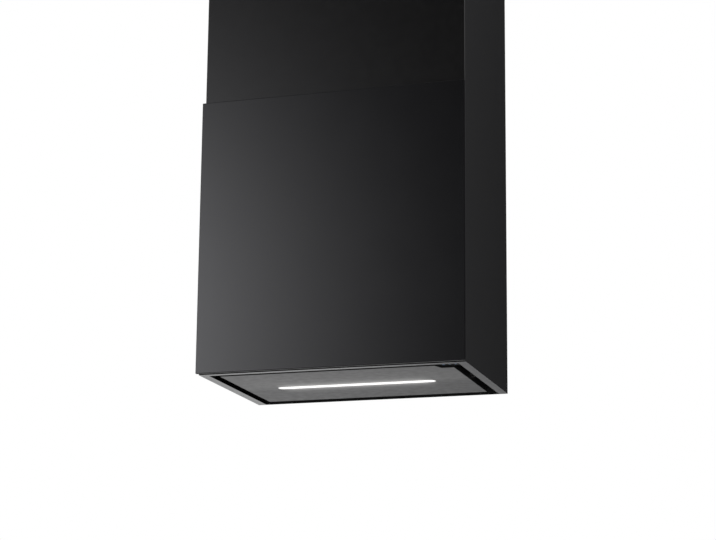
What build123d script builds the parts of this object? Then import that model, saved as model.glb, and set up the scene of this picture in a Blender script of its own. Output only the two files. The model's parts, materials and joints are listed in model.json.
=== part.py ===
"""Wall-mounted chimney hood: a tall black box with a glass front panel and a perimeter suction panel below.

X runs along the wall, +Y points into the wall and +Z up, in millimetres. The wall is the plane y = 0
and the origin is the middle of the back face's bottom edge.
"""

import os
from math import cos, pi, radians, sin

from build123d import *

os.makedirs("parts", exist_ok=True)

# ---------------------------------------------------------------- driving sizes
# Outer casing: one folded sheet, open at the back, the top and the bottom
body_width = 500.0
body_depth = 320.0
casing_height = 900.0
casing_sheet = 1.0
fold_radius = 1.5
rear_return = 20.0
bottom_hem = 6.0

# Front glass and the pan behind it
glass_height = 513.5
glass_lift = 0.5
glass_overhang = 1.5
glass_thickness = 5.0
glass_bevel = 0.8
carrier_depth = 7.0
carrier_sheet = 1.0
carrier_setback = 2.5
carrier_lift = 3.0
hook_spread = 380.0
hook_heights = (90.0, 440.0)
hook_sheet = 3.0
hook_bar = 8.0
hook_drop = 8.0
hook_reach = 4.0
hook_tongue = 2.5
hook_slot_play = 0.5

# Back panel
back_panel_height = 430.0
joggle_overlap = 1.0
wing_play = 4.0
fixing_hole_radius = 4.5
fixing_hole_height = 130.0
fixing_hole_spread = 300.0

# Underside: rim, suction panel and the air gaps between them
side_rim = 16.0
front_rim = 12.5
rim_height = 30.0
rim_sheet = 1.2
hem_joint = 0.2
side_gap = 17.0
front_gap = 11.0
rear_gap = 30.0
panel_sheet = 1.2
panel_edge = 14.0
panel_flange = 12.0
panel_rear_edge = 8.0
notch_width = 30.0
notch_depth = 22.0
notch_slant = 7.0

# Panel hinge at the rear
hinge_height = 20.0
hinge_setback = 6.0
hinge_inset = 21.0
hinge_plate = 2.0
hinge_plate_gap = 4.0
pin_radius = 4.0
pin_fit = 0.08
pin_overhang = 3.0
pin_bore_radius = 1.9
hinge_hub = 8.0
hinge_bar_clearance = 7.0
hinge_bar = 12.0
hinge_foot = 22.0
arm_foot = 16.0

# Panel magnets and side clips
magnet_width = 30.0
magnet_spread = 300.0
magnet_height = 12.0
magnet_reach = 19.0
closed_gap = 0.3
clip_length = 14.0
clip_height = 8.0
clip_bulge = 7.0
clip_sheet = 0.6
clip_setback = 153.0

# Lamp in the panel
lamp_length = 306.0
lamp_width = 20.0
lamp_setback = 160.0
lamp_sheet = 1.6
lamp_body_width = 30.0
lamp_body_height = 18.0
lamp_end = 12.0
diffuser_depth = 3.0
diffuser_flange = 3.0
diffuser_fit = 0.2
lamp_board_width = 12.0
board_thickness = 1.6
led_count = 24
led_size = 3.0
led_height = 0.8

# Keys in the front right corner
pod_width = 41.0
pod_depth = 31.0
pod_recess = 3.4
pod_height = 18.0
pod_wall = 1.8
key_radius = 3.6
key_pitch = 11.0
key_play = 0.2
key_proud = 1.0
key_travel = 1.0
key_collar = 0.9
key_collar_height = 1.2
key_stem_radius = 1.8
switch_size = 6.0
switch_height = 3.0

# Inner sheet box that carries the blower, and the intake plate below it
box_side_gap = 45.0
box_front_gap = 18.0
box_back_gap = 12.0
box_bottom = 58.0
box_top = 420.0
box_sheet = 1.0
box_lip = 14.0
plate_sheet = 1.2
lid_sheet = 1.2
bracket_depth = 60.0
bracket_sheet = 1.5
bracket_flange = 20.0
bracket_heights = (130.0, 380.0)
lead_hole_radius = 6.0

# Grease filter
filter_thickness = 10.0
filter_sheet = 0.8
filter_rail = 12.0
filter_lift = 4.0
filter_side_play = 4.0
filter_front_play = 4.0
filter_back_play = 14.0
seat_lip = 10.0
rest_overlap = 13.0
mesh_sheet = 1.5
mesh_columns = 20
mesh_rows = 14
mesh_strand = 3.0
mesh_play = 1.0

# Filter latch
latch_width = 40.0
latch_thickness = 3.0
latch_travel = 8.0
latch_reach = 5.0
latch_play = 1.0
latch_lift = 0.3
latch_body = 39.0
grip_width = 32.0
grip_depth = 6.0
grip_drop = 14.0
handle_wall = 2.0
handle_height = 12.0
handle_front = 5.0
spring_length = 20.0
spring_radius = 3.2
spring_wire = 0.8
spring_turns = 7
pad_width = 16.0
pad_drop = 5.0

# Blower: two-inlet scroll with a forward-curved wheel
wheel_gap = 15.0
wheel_width = 140.0
wheel_ring = 12.0
wheel_plate = 2.0
blade_count = 36
blade_thickness = 1.0
blade_lead = 4.8
blade_bow = 4.2
hub_radius = 13.0
hub_front = 8.0
hub_back = 22.0
blower_front_play = 3.5
blower_back_play = 29.5
blower_height = 225.0
scroll_growth = 10.0
tongue_angle = 60.0
scroll_wall = 2.5
scroll_side_gap = 6.0
scroll_rib = 6.0
inlet_step = 15.0
inlet_lip = 6.0
inlet_lip_wall = 3.0

# Motor
shaft_radius = 4.0
shaft_fit = 0.05
motor_radius = 40.0
motor_length = 80.0
motor_start = 14.0
motor_band = 3.0
bearing_radius = 9.0
bearing_width = 6.0
ear_radius = 52.0
ear_size = 7.0
ear_thickness = 3.0
grommet_radius = 5.5
grommet_height = 4.0
arm_width = 12.0
arm_sheet = 2.0
bracket_ring = 8.0

# Outlet collar and its flaps
collar_setback = 105.0
collar_radius = 75.0
collar_wall = 2.0
collar_height = 52.0
duct_rise = 34.0
collar_flange = 14.0
collar_flange_sheet = 2.5
flap_height = 12.0
flap_clearance = 1.5
flap_thickness = 1.5
flap_start = 6.0
knuckle_radius = 3.6
knuckle_length = 18.0
damper_pin_radius = 2.0
damper_pin_fit = 0.08
stop_width = 4.0

# Electrical parts on the lid
electric_left = 10.5
electric_depth = 88.0
electric_height = 44.0
electric_wall = 2.0
electric_right = 12.0
electric_front = 12.0
cover_height = 4.0
board_standoff = 6.0
terminal_pitch = 10.0
terminal_count = 5
terminal_depth = 16.0
terminal_height = 14.0
capacitor_radius = 17.0
capacitor_length = 62.0
driver_length = 110.0
driver_width = 42.0
driver_height = 28.0
gland_radius = 9.0
gland_bore_radius = 4.2
gland_length = 14.0
gland_taper = 9.0

# Hanging rail on the wall and the hooks on the box
rail_length = 360.0
rail_bottom = 450.0
rail_height = 56.0
rail_sheet = 2.0
rail_trough = 8.0
rail_lip = 14.0
rail_hole_radius = 4.0
rail_hole_drop = 14.0
rail_hole_spread = 280.0
hanger_width = 40.0
hanger_spread = 240.0
hanger_play = 1.0
hanger_overlap = 40.0
hanger_rise = 20.0

# Upper chimney sleeve
sleeve_height = 420.0
sleeve_reveal = 60.0
sleeve_sheet = 0.8
sleeve_gap = 2.5
sleeve_return = 18.0
sleeve_back_gap = 2.0
glide_gap = 0.3
glide_height = 25.0
glide_width = 40.0
glide_drop = 10.0
strap_height = 36.0
strap_drop = 14.0
strap_sheet = 1.5
strap_play = 4.0
strap_slot_length = 20.0
strap_slot_radius = 3.5
strap_slot_spread = 300.0

# Leads
lead_radius = 2.2
lead_bend = 12.0
lead_wide_bend = 25.0
lamp_lead_radius = 1.4
lamp_lead_bend = 8.0
lead_play = 0.15

# Screws
screw_head_radius = 3.8
screw_head_height = 2.4
screw_shank_radius = 1.9
screw_shank_length = 6.0
screw_recess_width = 1.0
screw_recess_length = 4.0
screw_recess_depth = 1.2
screw_play = 0.15

# ---------------------------------------------------------------- places worked out from the sizes
half_width = body_width / 2
inner_half = half_width - casing_sheet
front_inside = -(body_depth - casing_sheet)
back_inside = -2 * casing_sheet
rim_half = half_width - side_rim
rim_front = -(body_depth - front_rim)
panel_half = rim_half - side_gap
panel_front = rim_front + front_gap
panel_back = -rear_gap
hinge_y = panel_back - hinge_setback
box_half = half_width - box_side_gap
box_front = -(body_depth - box_front_gap)
box_back = -box_back_gap
box_inside_half = box_half - box_sheet
box_inside_front = box_front + box_sheet
box_inside_back = box_back - box_sheet
filter_bottom = box_bottom + filter_lift
filter_top = filter_bottom + filter_thickness
filter_front = box_inside_front + filter_front_play
filter_back = box_inside_back - filter_back_play
filter_depth = filter_back - filter_front
filter_width = 2 * (box_inside_half - filter_side_play)
lid_top = box_top + lid_sheet
# The scroll's radius grows by a step each quarter turn, so five steps and two radii span the box's depth
blower_room = box_inside_back - blower_back_play - box_inside_front - blower_front_play
scroll_radius = (blower_room - 5 * scroll_growth - 2 * scroll_wall) / 2
blower_setback = -(box_inside_front + blower_front_play + scroll_wall + scroll_radius + 1.5 * scroll_growth)
wheel_radius = scroll_radius - wheel_gap
inlet_radius = wheel_radius - inlet_step
blower_axis = Plane(
    origin=(0, -blower_setback, blower_height), x_dir=(0, 1, 0), z_dir=(1, 0, 0)
)
scroll_half = wheel_width / 2 + scroll_side_gap
throat_rise = box_top - blower_height
sleeve_half = inner_half - sleeve_gap
sleeve_front = front_inside + sleeve_gap
sleeve_bottom = casing_height + sleeve_reveal - sleeve_height
sleeve_top = casing_height + sleeve_reveal


def span(x, y, z, mode=Mode.ADD):
    """A block between two corners, given as (low, high) along each axis."""
    with Locations(((x[0] + x[1]) / 2, (y[0] + y[1]) / 2, (z[0] + z[1]) / 2)):
        Box(x[1] - x[0], y[1] - y[0], z[1] - z[0], mode=mode)


def u_ring(outer_half, outer_front, inner_half_width, inner_front, back):
    """A ring along the front and both sides, open at the back, in the open sketch."""
    with Locations((0, (outer_front + back) / 2)):
        Rectangle(2 * outer_half, back - outer_front)
    with Locations((0, (inner_front + back) / 2)):
        Rectangle(2 * inner_half_width, back - inner_front, mode=Mode.SUBTRACT)


def frame_ring(outer, inner):
    """A closed ring between two rectangles, each given as (half width, front, back), in the open sketch."""
    for (half, front, back), mode in ((outer, Mode.ADD), (inner, Mode.SUBTRACT)):
        with Locations((0, (front + back) / 2)):
            Rectangle(2 * half, back - front, mode=mode)


def lead(route, bends, radius):
    """A round lead along straight runs joined by arcs."""
    with BuildPart() as piece:
        with BuildLine() as path:
            FilletPolyline(*route, radius=bends)
        with BuildSketch(Plane(origin=path.line @ 0, z_dir=path.line % 0)):
            Circle(radius)
        sweep(path=path.line)
    return piece


def screws(places, direction):
    """Pan-head screws with their heads resting on the places, shanks running along the direction."""
    with BuildPart() as group:
        for place in places:
            seat = Plane(origin=place, z_dir=tuple(-part for part in direction))
            with BuildSketch(seat):
                Circle(screw_head_radius)
            extrude(amount=screw_head_height)
            with BuildSketch(seat):
                Circle(screw_shank_radius)
            extrude(amount=-screw_shank_length)
            with BuildSketch(seat.offset(screw_head_height)):
                Rectangle(screw_recess_length, screw_recess_width)
                Rectangle(screw_recess_width, screw_recess_length)
            extrude(amount=-screw_recess_depth, mode=Mode.SUBTRACT)
    return group


# ---------------------------------------------------------------- casing, glass and rim
# Folded casing: front web, two sides and the returns that lie on the wall
with BuildPart() as outer_casing:
    with BuildSketch(Plane.XY) as casing_section:
        with Locations((0, -body_depth / 2)):
            Rectangle(body_width, body_depth)
        fillet(casing_section.vertices().group_by(Axis.Y)[0], fold_radius)
        with Locations((0, -body_depth / 2)):
            Rectangle(
                2 * inner_half, body_depth - 2 * casing_sheet, mode=Mode.SUBTRACT
            )
        with Locations((0, -casing_sheet / 2)):
            Rectangle(body_width - 2 * rear_return, casing_sheet, mode=Mode.SUBTRACT)
    extrude(amount=casing_height)
    # Hem turned in along the bottom of the front and the sides
    with BuildSketch(Plane.XY):
        u_ring(
            inner_half,
            front_inside,
            half_width - bottom_hem,
            -(body_depth - bottom_hem),
            back_inside,
        )
    extrude(amount=casing_sheet)
    # Slots for the hooks of the glass
    for height in hook_heights:
        for x in (-hook_spread / 2, hook_spread / 2):
            span(
                (
                    x - hook_sheet / 2 - hook_slot_play,
                    x + hook_sheet / 2 + hook_slot_play,
                ),
                (-body_depth, front_inside),
                (height, height + hook_bar + hook_drop + hook_slot_play),
                Mode.SUBTRACT,
            )

# Black glass over the lower front, its front edges ground
glass_back = -(body_depth + carrier_depth)
with BuildPart() as front_glass:
    with BuildSketch(Plane.XZ.offset(-glass_back)):
        with Locations((0, glass_lift + glass_height / 2)):
            Rectangle(body_width + 2 * glass_overhang, glass_height)
    extrude(amount=glass_thickness)
    chamfer(front_glass.faces().sort_by(Axis.Y)[0].edges(), glass_bevel)

# Pan bonded behind the glass, its turned edge against the casing
carrier_half = half_width - carrier_setback
carrier_bottom = glass_lift + carrier_lift
carrier_top = glass_lift + glass_height - carrier_lift
with BuildPart() as glass_carrier:
    span((-carrier_half, carrier_half), (glass_back, -body_depth), (carrier_bottom, carrier_top))
    span(
        (-carrier_half + carrier_sheet, carrier_half - carrier_sheet),
        (glass_back + carrier_sheet, -body_depth),
        (carrier_bottom + carrier_sheet, carrier_top - carrier_sheet),
        Mode.SUBTRACT,
    )

# Hooks that hang the pan in the casing's slots
hook_end = front_inside + hook_reach
with BuildPart() as glass_hooks:
    for height in hook_heights:
        for x in (-hook_spread / 2, hook_spread / 2):
            x_span = (x - hook_sheet / 2, x + hook_sheet / 2)
            # The bar rests on the lower end of the slot
            span(x_span, (glass_back + carrier_sheet, hook_end), (height, height + hook_bar))
            span(
                x_span,
                (hook_end - hook_tongue, hook_end),
                (height - hook_drop, height + hook_bar),
            )
            span(
                x_span,
                (glass_back + carrier_sheet, -body_depth - hook_slot_play),
                (height - hook_drop, height + hook_bar + hook_drop),
            )

# Back panel, its middle pressed out to the wall between the casing's returns
raised_half = half_width - rear_return - joggle_overlap
with BuildPart() as back_panel:
    with BuildSketch(Plane.XY):
        with Locations((0, -casing_sheet / 2)):
            Rectangle(2 * raised_half, casing_sheet)
        for side in (-1, 1):
            wing_inner = raised_half - casing_sheet
            wing_outer = inner_half - wing_play
            with Locations(
                (side * (wing_inner + wing_outer) / 2, -1.5 * casing_sheet)
            ):
                Rectangle(wing_outer - wing_inner, casing_sheet)
    extrude(amount=back_panel_height)
    with BuildSketch(Plane.XZ):
        with Locations((0, fixing_hole_height)):
            with GridLocations(fixing_hole_spread, 1, 2, 1):
                Circle(fixing_hole_radius)
    extrude(amount=casing_sheet, mode=Mode.SUBTRACT)

# Rim: a channel along the front and both sides of the underside
rim_outer_half = half_width - bottom_hem - hem_joint
rim_outer_front = -(body_depth - bottom_hem - hem_joint)
with BuildPart() as rim_frame:
    with BuildSketch(Plane.XY):
        u_ring(rim_outer_half, rim_outer_front, rim_half, rim_front, back_inside)
    extrude(amount=rim_sheet)
    with BuildSketch(Plane.XY):
        u_ring(rim_half + rim_sheet, rim_front - rim_sheet, rim_half, rim_front, back_inside)
    extrude(amount=rim_height)
    with BuildSketch(Plane.XY.offset(rim_height - rim_sheet)):
        u_ring(inner_half, front_inside, rim_half, rim_front, back_inside)
    extrude(amount=rim_sheet)

# Intake plate: closes the space round the inner box, turned down onto the rim
intake_top = box_bottom
intake_front = filter_front - latch_play
intake_half = filter_width / 2 + latch_play
intake_back = filter_back + latch_play
lead_hole_x = (box_half + inner_half) / 2
lead_hole_front = (box_front + front_inside) / 2 + lead_hole_radius
lead_hole_back = hinge_y
with BuildPart() as intake_plate:
    with BuildSketch(Plane.XY.offset(intake_top - plate_sheet)):
        frame_ring(
            (inner_half, front_inside, back_inside),
            (intake_half, intake_front, intake_back),
        )
        with Locations((lead_hole_x, lead_hole_front), (-lead_hole_x, lead_hole_back)):
            Circle(lead_hole_radius, mode=Mode.SUBTRACT)
    extrude(amount=plate_sheet)
    with BuildSketch(Plane.XY.offset(rim_height)):
        u_ring(
            inner_half,
            front_inside,
            inner_half - plate_sheet,
            front_inside + plate_sheet,
            back_inside,
        )
    extrude(amount=intake_top - rim_height)

# ---------------------------------------------------------------- suction panel and its hinge
# Tray with turned-up edges, a flange along the front, the lamp slot and the corner notch
notch_x = panel_half - notch_width
with BuildPart() as suction_panel:
    span((-panel_half, panel_half), (panel_front, panel_back), (0, panel_sheet))
    for side in (-1, 1):
        edge = sorted((side * panel_half, side * (panel_half - panel_sheet)))
        span(edge, (panel_front, panel_back), (0, panel_edge))
    span((-panel_half, panel_half), (panel_front, panel_front + panel_sheet), (0, panel_edge))
    span(
        (-panel_half, panel_half),
        (panel_front, panel_front + panel_flange),
        (panel_edge - panel_sheet, panel_edge),
    )
    with BuildSketch(Plane.XY):
        with BuildLine():
            Polyline(
                (notch_x, panel_front),
                (notch_x + notch_slant, panel_front + notch_depth),
                (panel_half, panel_front + notch_depth),
                (panel_half, panel_front),
                close=True,
            )
        make_face()
    extrude(amount=panel_edge, mode=Mode.SUBTRACT)
    # The rear edge stands lower, so that it clears the hinge when the panel hangs
    for side in (-1, 1):
        edge = sorted((side * panel_half, side * (panel_half - panel_sheet)))
        span(
            edge,
            (hinge_y - hinge_hub, panel_back),
            (panel_rear_edge, panel_edge),
            Mode.SUBTRACT,
        )
    span((-panel_half, panel_half), (panel_back - panel_sheet, panel_back), (0, panel_rear_edge))
    with BuildSketch(Plane.XY):
        with Locations((0, -lamp_setback)):
            SlotOverall(lamp_length, lamp_width)
    extrude(amount=panel_sheet, mode=Mode.SUBTRACT)

# Arms that stand on the panel and turn on the pins
arm_x = panel_half - hinge_inset
with BuildPart() as panel_hinge_arms:
    for side in (-1, 1):
        inner_face = Plane(
            origin=(side * (arm_x - hinge_plate / 2), 0, 0),
            x_dir=(0, 1, 0),
            z_dir=(1, 0, 0),
        )
        with BuildSketch(inner_face.offset(-hinge_plate / 2)):
            with Locations((hinge_y, hinge_height)):
                Circle(hinge_hub)
            with BuildLine():
                Polyline(
                    (hinge_y, panel_sheet),
                    (hinge_y + hinge_hub, hinge_height),
                    (hinge_y - hinge_hub, hinge_height),
                    (hinge_y - 2 * hinge_hub, panel_sheet),
                    close=True,
                )
            make_face()
            with Locations((hinge_y, hinge_height)):
                Circle(pin_radius + pin_fit, mode=Mode.SUBTRACT)
        extrude(amount=hinge_plate)
        # Foot spot-welded to the panel
        foot = sorted((side * (arm_x - hinge_plate), side * (arm_x - arm_foot)))
        span(
            foot,
            (hinge_y - 2 * hinge_hub, hinge_y + hinge_hub / 2),
            (panel_sheet, panel_sheet + hinge_plate),
        )

# Fixed plates that carry the pins, reaching over the panel's edge from the back panel
fixed_x = arm_x + hinge_plate_gap
bar_bottom = hinge_height + hinge_bar_clearance
with BuildPart() as hinge_brackets:
    for side in (-1, 1):
        plate_face = Plane(
            origin=(side * (fixed_x + hinge_plate / 2), 0, 0),
            x_dir=(0, 1, 0),
            z_dir=(1, 0, 0),
        )
        with BuildSketch(plate_face.offset(-hinge_plate / 2)):
            with Locations((hinge_y, hinge_height)):
                Circle(hinge_hub)
            with BuildLine():
                Polyline(
                    (hinge_y - hinge_hub, hinge_height),
                    (hinge_y - hinge_hub, bar_bottom + hinge_bar),
                    (-casing_sheet, bar_bottom + hinge_bar),
                    (-casing_sheet, bar_bottom),
                    (hinge_y + hinge_hub, bar_bottom),
                    (hinge_y + hinge_hub, hinge_height),
                    close=True,
                )
            make_face()
            with Locations((hinge_y, hinge_height)):
                Circle(pin_radius, mode=Mode.SUBTRACT)
        extrude(amount=hinge_plate)
        foot = sorted((side * fixed_x, side * (fixed_x + hinge_foot)))
        span(
            foot,
            (-casing_sheet - hinge_plate, -casing_sheet),
            (bar_bottom, bar_bottom + hinge_bar),
        )

# Hollow pins, pressed into the fixed plates; the lamp's lead runs through the left one
pin_inner = arm_x - hinge_plate - pin_overhang
pin_outer = fixed_x + hinge_plate + pin_overhang
hinge_plane = Plane(origin=(0, hinge_y, hinge_height), x_dir=(0, 1, 0), z_dir=(1, 0, 0))
with BuildPart() as hinge_pins:
    for start in (-pin_outer, pin_inner):
        with BuildSketch(hinge_plane.offset(start)):
            Circle(pin_radius)
            Circle(pin_bore_radius, mode=Mode.SUBTRACT)
        extrude(amount=pin_outer - pin_inner)

# Magnets on the rim that hold the panel's front flange
with BuildPart() as panel_magnets:
    for x in (-magnet_spread / 2, magnet_spread / 2):
        x_span = (x - magnet_width / 2, x + magnet_width / 2)
        span(
            x_span,
            (rim_front, rim_front + magnet_reach),
            (panel_edge + closed_gap, panel_edge + closed_gap + magnet_height),
        )

# Leaf clips on the panel's side edges, bulging into the air gap
clip_plane = Plane.XY.offset(panel_edge - clip_height)
with BuildPart() as side_clips:
    for side in (-1, 1):
        with BuildSketch(clip_plane):
            with BuildLine() as bow:
                edge_x = side * panel_half
                ends = (-clip_setback - clip_length / 2, -clip_setback + clip_length / 2)
                peak = side * (panel_half + clip_bulge)
                inner_peak = side * (panel_half + clip_bulge - clip_sheet)
                ThreePointArc((edge_x, ends[0]), (peak, -clip_setback), (edge_x, ends[1]))
                Line((edge_x, ends[1]), (edge_x, ends[1] - clip_sheet))
                ThreePointArc(
                    (edge_x, ends[1] - clip_sheet),
                    (inner_peak, -clip_setback),
                    (edge_x, ends[0] + clip_sheet),
                )
                Line((edge_x, ends[0] + clip_sheet), (edge_x, ends[0]))
            make_face()
        extrude(amount=clip_height)

# ---------------------------------------------------------------- lamp
lamp_top = panel_sheet + lamp_body_height
lamp_half = lamp_length / 2 + lamp_end
lamp_y = (-lamp_setback - lamp_body_width / 2, -lamp_setback + lamp_body_width / 2)
with BuildPart() as lamp_housing:
    span((-lamp_half, lamp_half), lamp_y, (panel_sheet, lamp_top))
    span(
        (-lamp_half + lamp_sheet, lamp_half - lamp_sheet),
        (lamp_y[0] + lamp_sheet, lamp_y[1] - lamp_sheet),
        (panel_sheet, lamp_top - lamp_sheet),
        Mode.SUBTRACT,
    )
    # Hole for the lead in the left end
    lead_height = panel_sheet + lamp_body_height / 2
    with BuildSketch(Plane.YZ.offset(-lamp_half)):
        with Locations((-lamp_setback, lead_height)):
            Circle(lamp_lead_radius + lead_play)
    extrude(amount=lamp_sheet, mode=Mode.SUBTRACT)

# Opal diffuser: its nose fills the slot and its flange lies on the panel
with BuildPart() as lamp_diffuser:
    with BuildSketch(Plane.XY):
        with Locations((0, -lamp_setback)):
            SlotOverall(lamp_length - 2 * diffuser_fit, lamp_width - 2 * diffuser_fit)
    extrude(amount=panel_sheet + diffuser_depth)
    with BuildSketch(Plane.XY.offset(panel_sheet)):
        with Locations((0, -lamp_setback)):
            SlotOverall(lamp_length + 2 * diffuser_flange, lamp_width + 2 * diffuser_flange)
    extrude(amount=diffuser_depth / 2)

# Strip of light-emitting diodes under the top of the housing
lamp_board_top = lamp_top - lamp_sheet
led_pitch = (lamp_length - lamp_board_width) / led_count
with BuildPart() as lamp_board:
    with BuildSketch(Plane.XY.offset(lamp_board_top - board_thickness)):
        with Locations((0, -lamp_setback)):
            Rectangle(lamp_length, lamp_board_width)
    extrude(amount=board_thickness)
    with BuildSketch(Plane.XY.offset(lamp_board_top - board_thickness)):
        with Locations((0, -lamp_setback)):
            with GridLocations(led_pitch, 1, led_count, 1):
                Rectangle(led_size, led_size)
    extrude(amount=-led_height)

# ---------------------------------------------------------------- keys
pod_right = rim_half
pod_left = pod_right - pod_width
pod_back = rim_front + pod_depth
pod_top = pod_recess + pod_height
key_y = rim_front + pod_depth / 2
key_x = (pod_left + pod_right) / 2
board_bottom = pod_top - board_thickness - pod_wall
with BuildPart() as key_pod:
    span((pod_left, pod_right), (rim_front, pod_back), (pod_recess, pod_top))
    # The board's pocket is wider than the keys' chamber, which leaves a ledge for it
    span(
        (pod_left + pod_wall, pod_right - pod_wall),
        (rim_front + pod_wall, pod_back - pod_wall),
        (board_bottom, pod_top),
        Mode.SUBTRACT,
    )
    span(
        (pod_left + 2 * pod_wall, pod_right - 2 * pod_wall),
        (rim_front + 2 * pod_wall, pod_back - 2 * pod_wall),
        (pod_recess + pod_wall, pod_top),
        Mode.SUBTRACT,
    )
    with BuildSketch(Plane.XY.offset(pod_recess)):
        with Locations((key_x, key_y)):
            with GridLocations(key_pitch, 1, 3, 1):
                Circle(key_radius + key_play)
    extrude(amount=pod_wall, mode=Mode.SUBTRACT)

# Board with one switch over each key
with BuildPart() as key_board:
    span(
        (pod_left + pod_wall + key_play, pod_right - pod_wall - key_play),
        (rim_front + pod_wall + key_play, pod_back - pod_wall - key_play),
        (board_bottom, board_bottom + board_thickness),
    )
    with BuildSketch(Plane.XY.offset(board_bottom)):
        with Locations((key_x, key_y)):
            with GridLocations(key_pitch, 1, 3, 1):
                Rectangle(switch_size, switch_size)
    extrude(amount=-switch_height)

# Keys: a cap through the floor, a collar that keeps it in, and a stem towards the switch
collar_bottom = pod_recess + pod_wall + closed_gap
stem_top = board_bottom - switch_height - key_travel - key_play


def key(x):
    """One round key, centred at x."""
    with BuildPart() as piece:
        with BuildSketch(Plane.XY.offset(pod_recess - key_proud)):
            with Locations((x, key_y)):
                Circle(key_radius)
        extrude(amount=collar_bottom - pod_recess + key_proud)
        fillet(piece.faces().sort_by(Axis.Z)[0].edges(), key_proud / 2)
        with BuildSketch(Plane.XY.offset(collar_bottom)):
            with Locations((x, key_y)):
                Circle(key_radius + key_collar)
        extrude(amount=key_collar_height)
        with BuildSketch(Plane.XY.offset(collar_bottom)):
            with Locations((x, key_y)):
                Circle(key_stem_radius)
        extrude(amount=stem_top - collar_bottom)
    return piece


key_power = key(key_x - key_pitch)
key_speed = key(key_x)
key_light = key(key_x + key_pitch)

# ---------------------------------------------------------------- inner box
latch_bottom = box_bottom + latch_lift
latch_top = latch_bottom + latch_thickness
throat_half = scroll_half
throat_back = -blower_setback + scroll_growth / 2 + scroll_radius + 3 * scroll_growth
with BuildPart() as motor_box:
    with BuildSketch(Plane.XY.offset(box_bottom)):
        frame_ring(
            (box_half, box_front, box_back),
            (box_inside_half, box_inside_front, box_inside_back),
        )
    extrude(amount=box_top - box_bottom)
    # Lip turned in at the top, under the lid
    with BuildSketch(Plane.XY.offset(box_top - box_sheet)):
        frame_ring(
            (box_half, box_front, box_back),
            (box_inside_half - box_lip, box_inside_front + box_lip, box_inside_back - box_lip),
        )
    extrude(amount=box_sheet)
    # Slot for the latch's tongue
    span(
        (-latch_width / 2 - latch_play, latch_width / 2 + latch_play),
        (box_front, box_inside_front),
        (box_bottom, latch_top + latch_play),
        Mode.SUBTRACT,
    )

# Lid with the outlet of the blower and the hole for the motor's lead
throat_front = -blower_setback - scroll_growth / 2 + scroll_radius * cos(radians(tongue_angle))
electric_x = (scroll_half + scroll_wall + electric_left, box_half - electric_right)
electric_y = (box_front + electric_front, box_front + electric_front + electric_depth)
motor_lead_x = electric_x[0] + electric_wall + 2 * lead_hole_radius
motor_lead_y = sum(electric_y) / 2
with BuildPart() as box_lid:
    with BuildSketch(Plane.XY.offset(box_top)):
        with Locations((0, (box_front + box_back) / 2)):
            Rectangle(2 * box_half, box_back - box_front)
        with Locations((0, (throat_front + throat_back) / 2)):
            Rectangle(2 * throat_half, throat_back - throat_front, mode=Mode.SUBTRACT)
        with Locations((motor_lead_x, motor_lead_y)):
            Circle(lead_hole_radius, mode=Mode.SUBTRACT)
    extrude(amount=lid_sheet)

# Brackets that tie the box to the sides of the casing
bracket_middle = (box_front + box_back) / 2
bracket_y = (bracket_middle - bracket_depth / 2, bracket_middle + bracket_depth / 2)
with BuildPart() as box_brackets:
    for height in bracket_heights:
        for side in (-1, 1):
            web = sorted((side * box_half, side * inner_half))
            inner_flange = sorted((side * box_half, side * (box_half + bracket_sheet)))
            outer_flange = sorted((side * (inner_half - bracket_sheet), side * inner_half))
            span(web, bracket_y, (height, height + bracket_sheet))
            span(inner_flange, bracket_y, (height - bracket_flange, height + bracket_sheet))
            span(outer_flange, bracket_y, (height, height + bracket_flange))

# ---------------------------------------------------------------- grease filter
# Seat inside the box that the filter is pressed against
seat_opening = (
    filter_width / 2 - seat_lip,
    filter_front + seat_lip,
    filter_back - seat_lip,
)
with BuildPart() as filter_seat:
    with BuildSketch(Plane.XY.offset(filter_top)):
        frame_ring((box_inside_half, box_inside_front, box_inside_back), seat_opening)
    extrude(amount=box_sheet)

# Ledge on the back wall of the box, under the filter's rear edge
with BuildPart() as filter_rest:
    rest_x = (-filter_width / 2, filter_width / 2)
    span(
        rest_x,
        (filter_back - rest_overlap, box_inside_back),
        (filter_bottom - plate_sheet, filter_bottom),
    )
    span(
        rest_x,
        (box_inside_back - plate_sheet, box_inside_back),
        (filter_bottom - plate_sheet, filter_top),
    )

# Channel frame round the mesh
with BuildPart() as filter_frame:
    outer = (filter_width / 2, filter_front, filter_back)
    with BuildSketch(Plane.XY.offset(filter_bottom)):
        frame_ring(
            outer,
            (
                filter_width / 2 - filter_rail,
                filter_front + filter_rail,
                filter_back - filter_rail,
            ),
        )
    extrude(amount=filter_thickness)
    with BuildSketch(Plane.XY.offset(filter_bottom + filter_sheet)):
        with Locations((0, (filter_front + filter_back) / 2)):
            Rectangle(
                filter_width - 2 * filter_sheet,
                filter_depth - 2 * filter_sheet,
            )
    extrude(amount=filter_thickness - 2 * filter_sheet, mode=Mode.SUBTRACT)

# Two sheets of mesh held in the channel
mesh_width = filter_width - 2 * filter_sheet - 2 * mesh_play
mesh_depth = filter_depth - 2 * filter_sheet - 2 * mesh_play
mesh_open_width = filter_width - 2 * filter_rail
mesh_open_depth = filter_depth - 2 * filter_rail
mesh_pitch_x = mesh_open_width / mesh_columns
mesh_pitch_y = mesh_open_depth / mesh_rows
with BuildPart() as filter_mesh:
    for height in (
        filter_bottom + filter_sheet,
        filter_top - filter_sheet - mesh_sheet,
    ):
        with BuildSketch(Plane.XY.offset(height)):
            with Locations((0, (filter_front + filter_back) / 2)):
                Rectangle(mesh_width, mesh_depth)
                with GridLocations(mesh_pitch_x, mesh_pitch_y, mesh_columns, mesh_rows):
                    Rectangle(
                        mesh_pitch_x - mesh_strand,
                        mesh_pitch_y - mesh_strand,
                        mode=Mode.SUBTRACT,
                    )
        extrude(amount=mesh_sheet)

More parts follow.
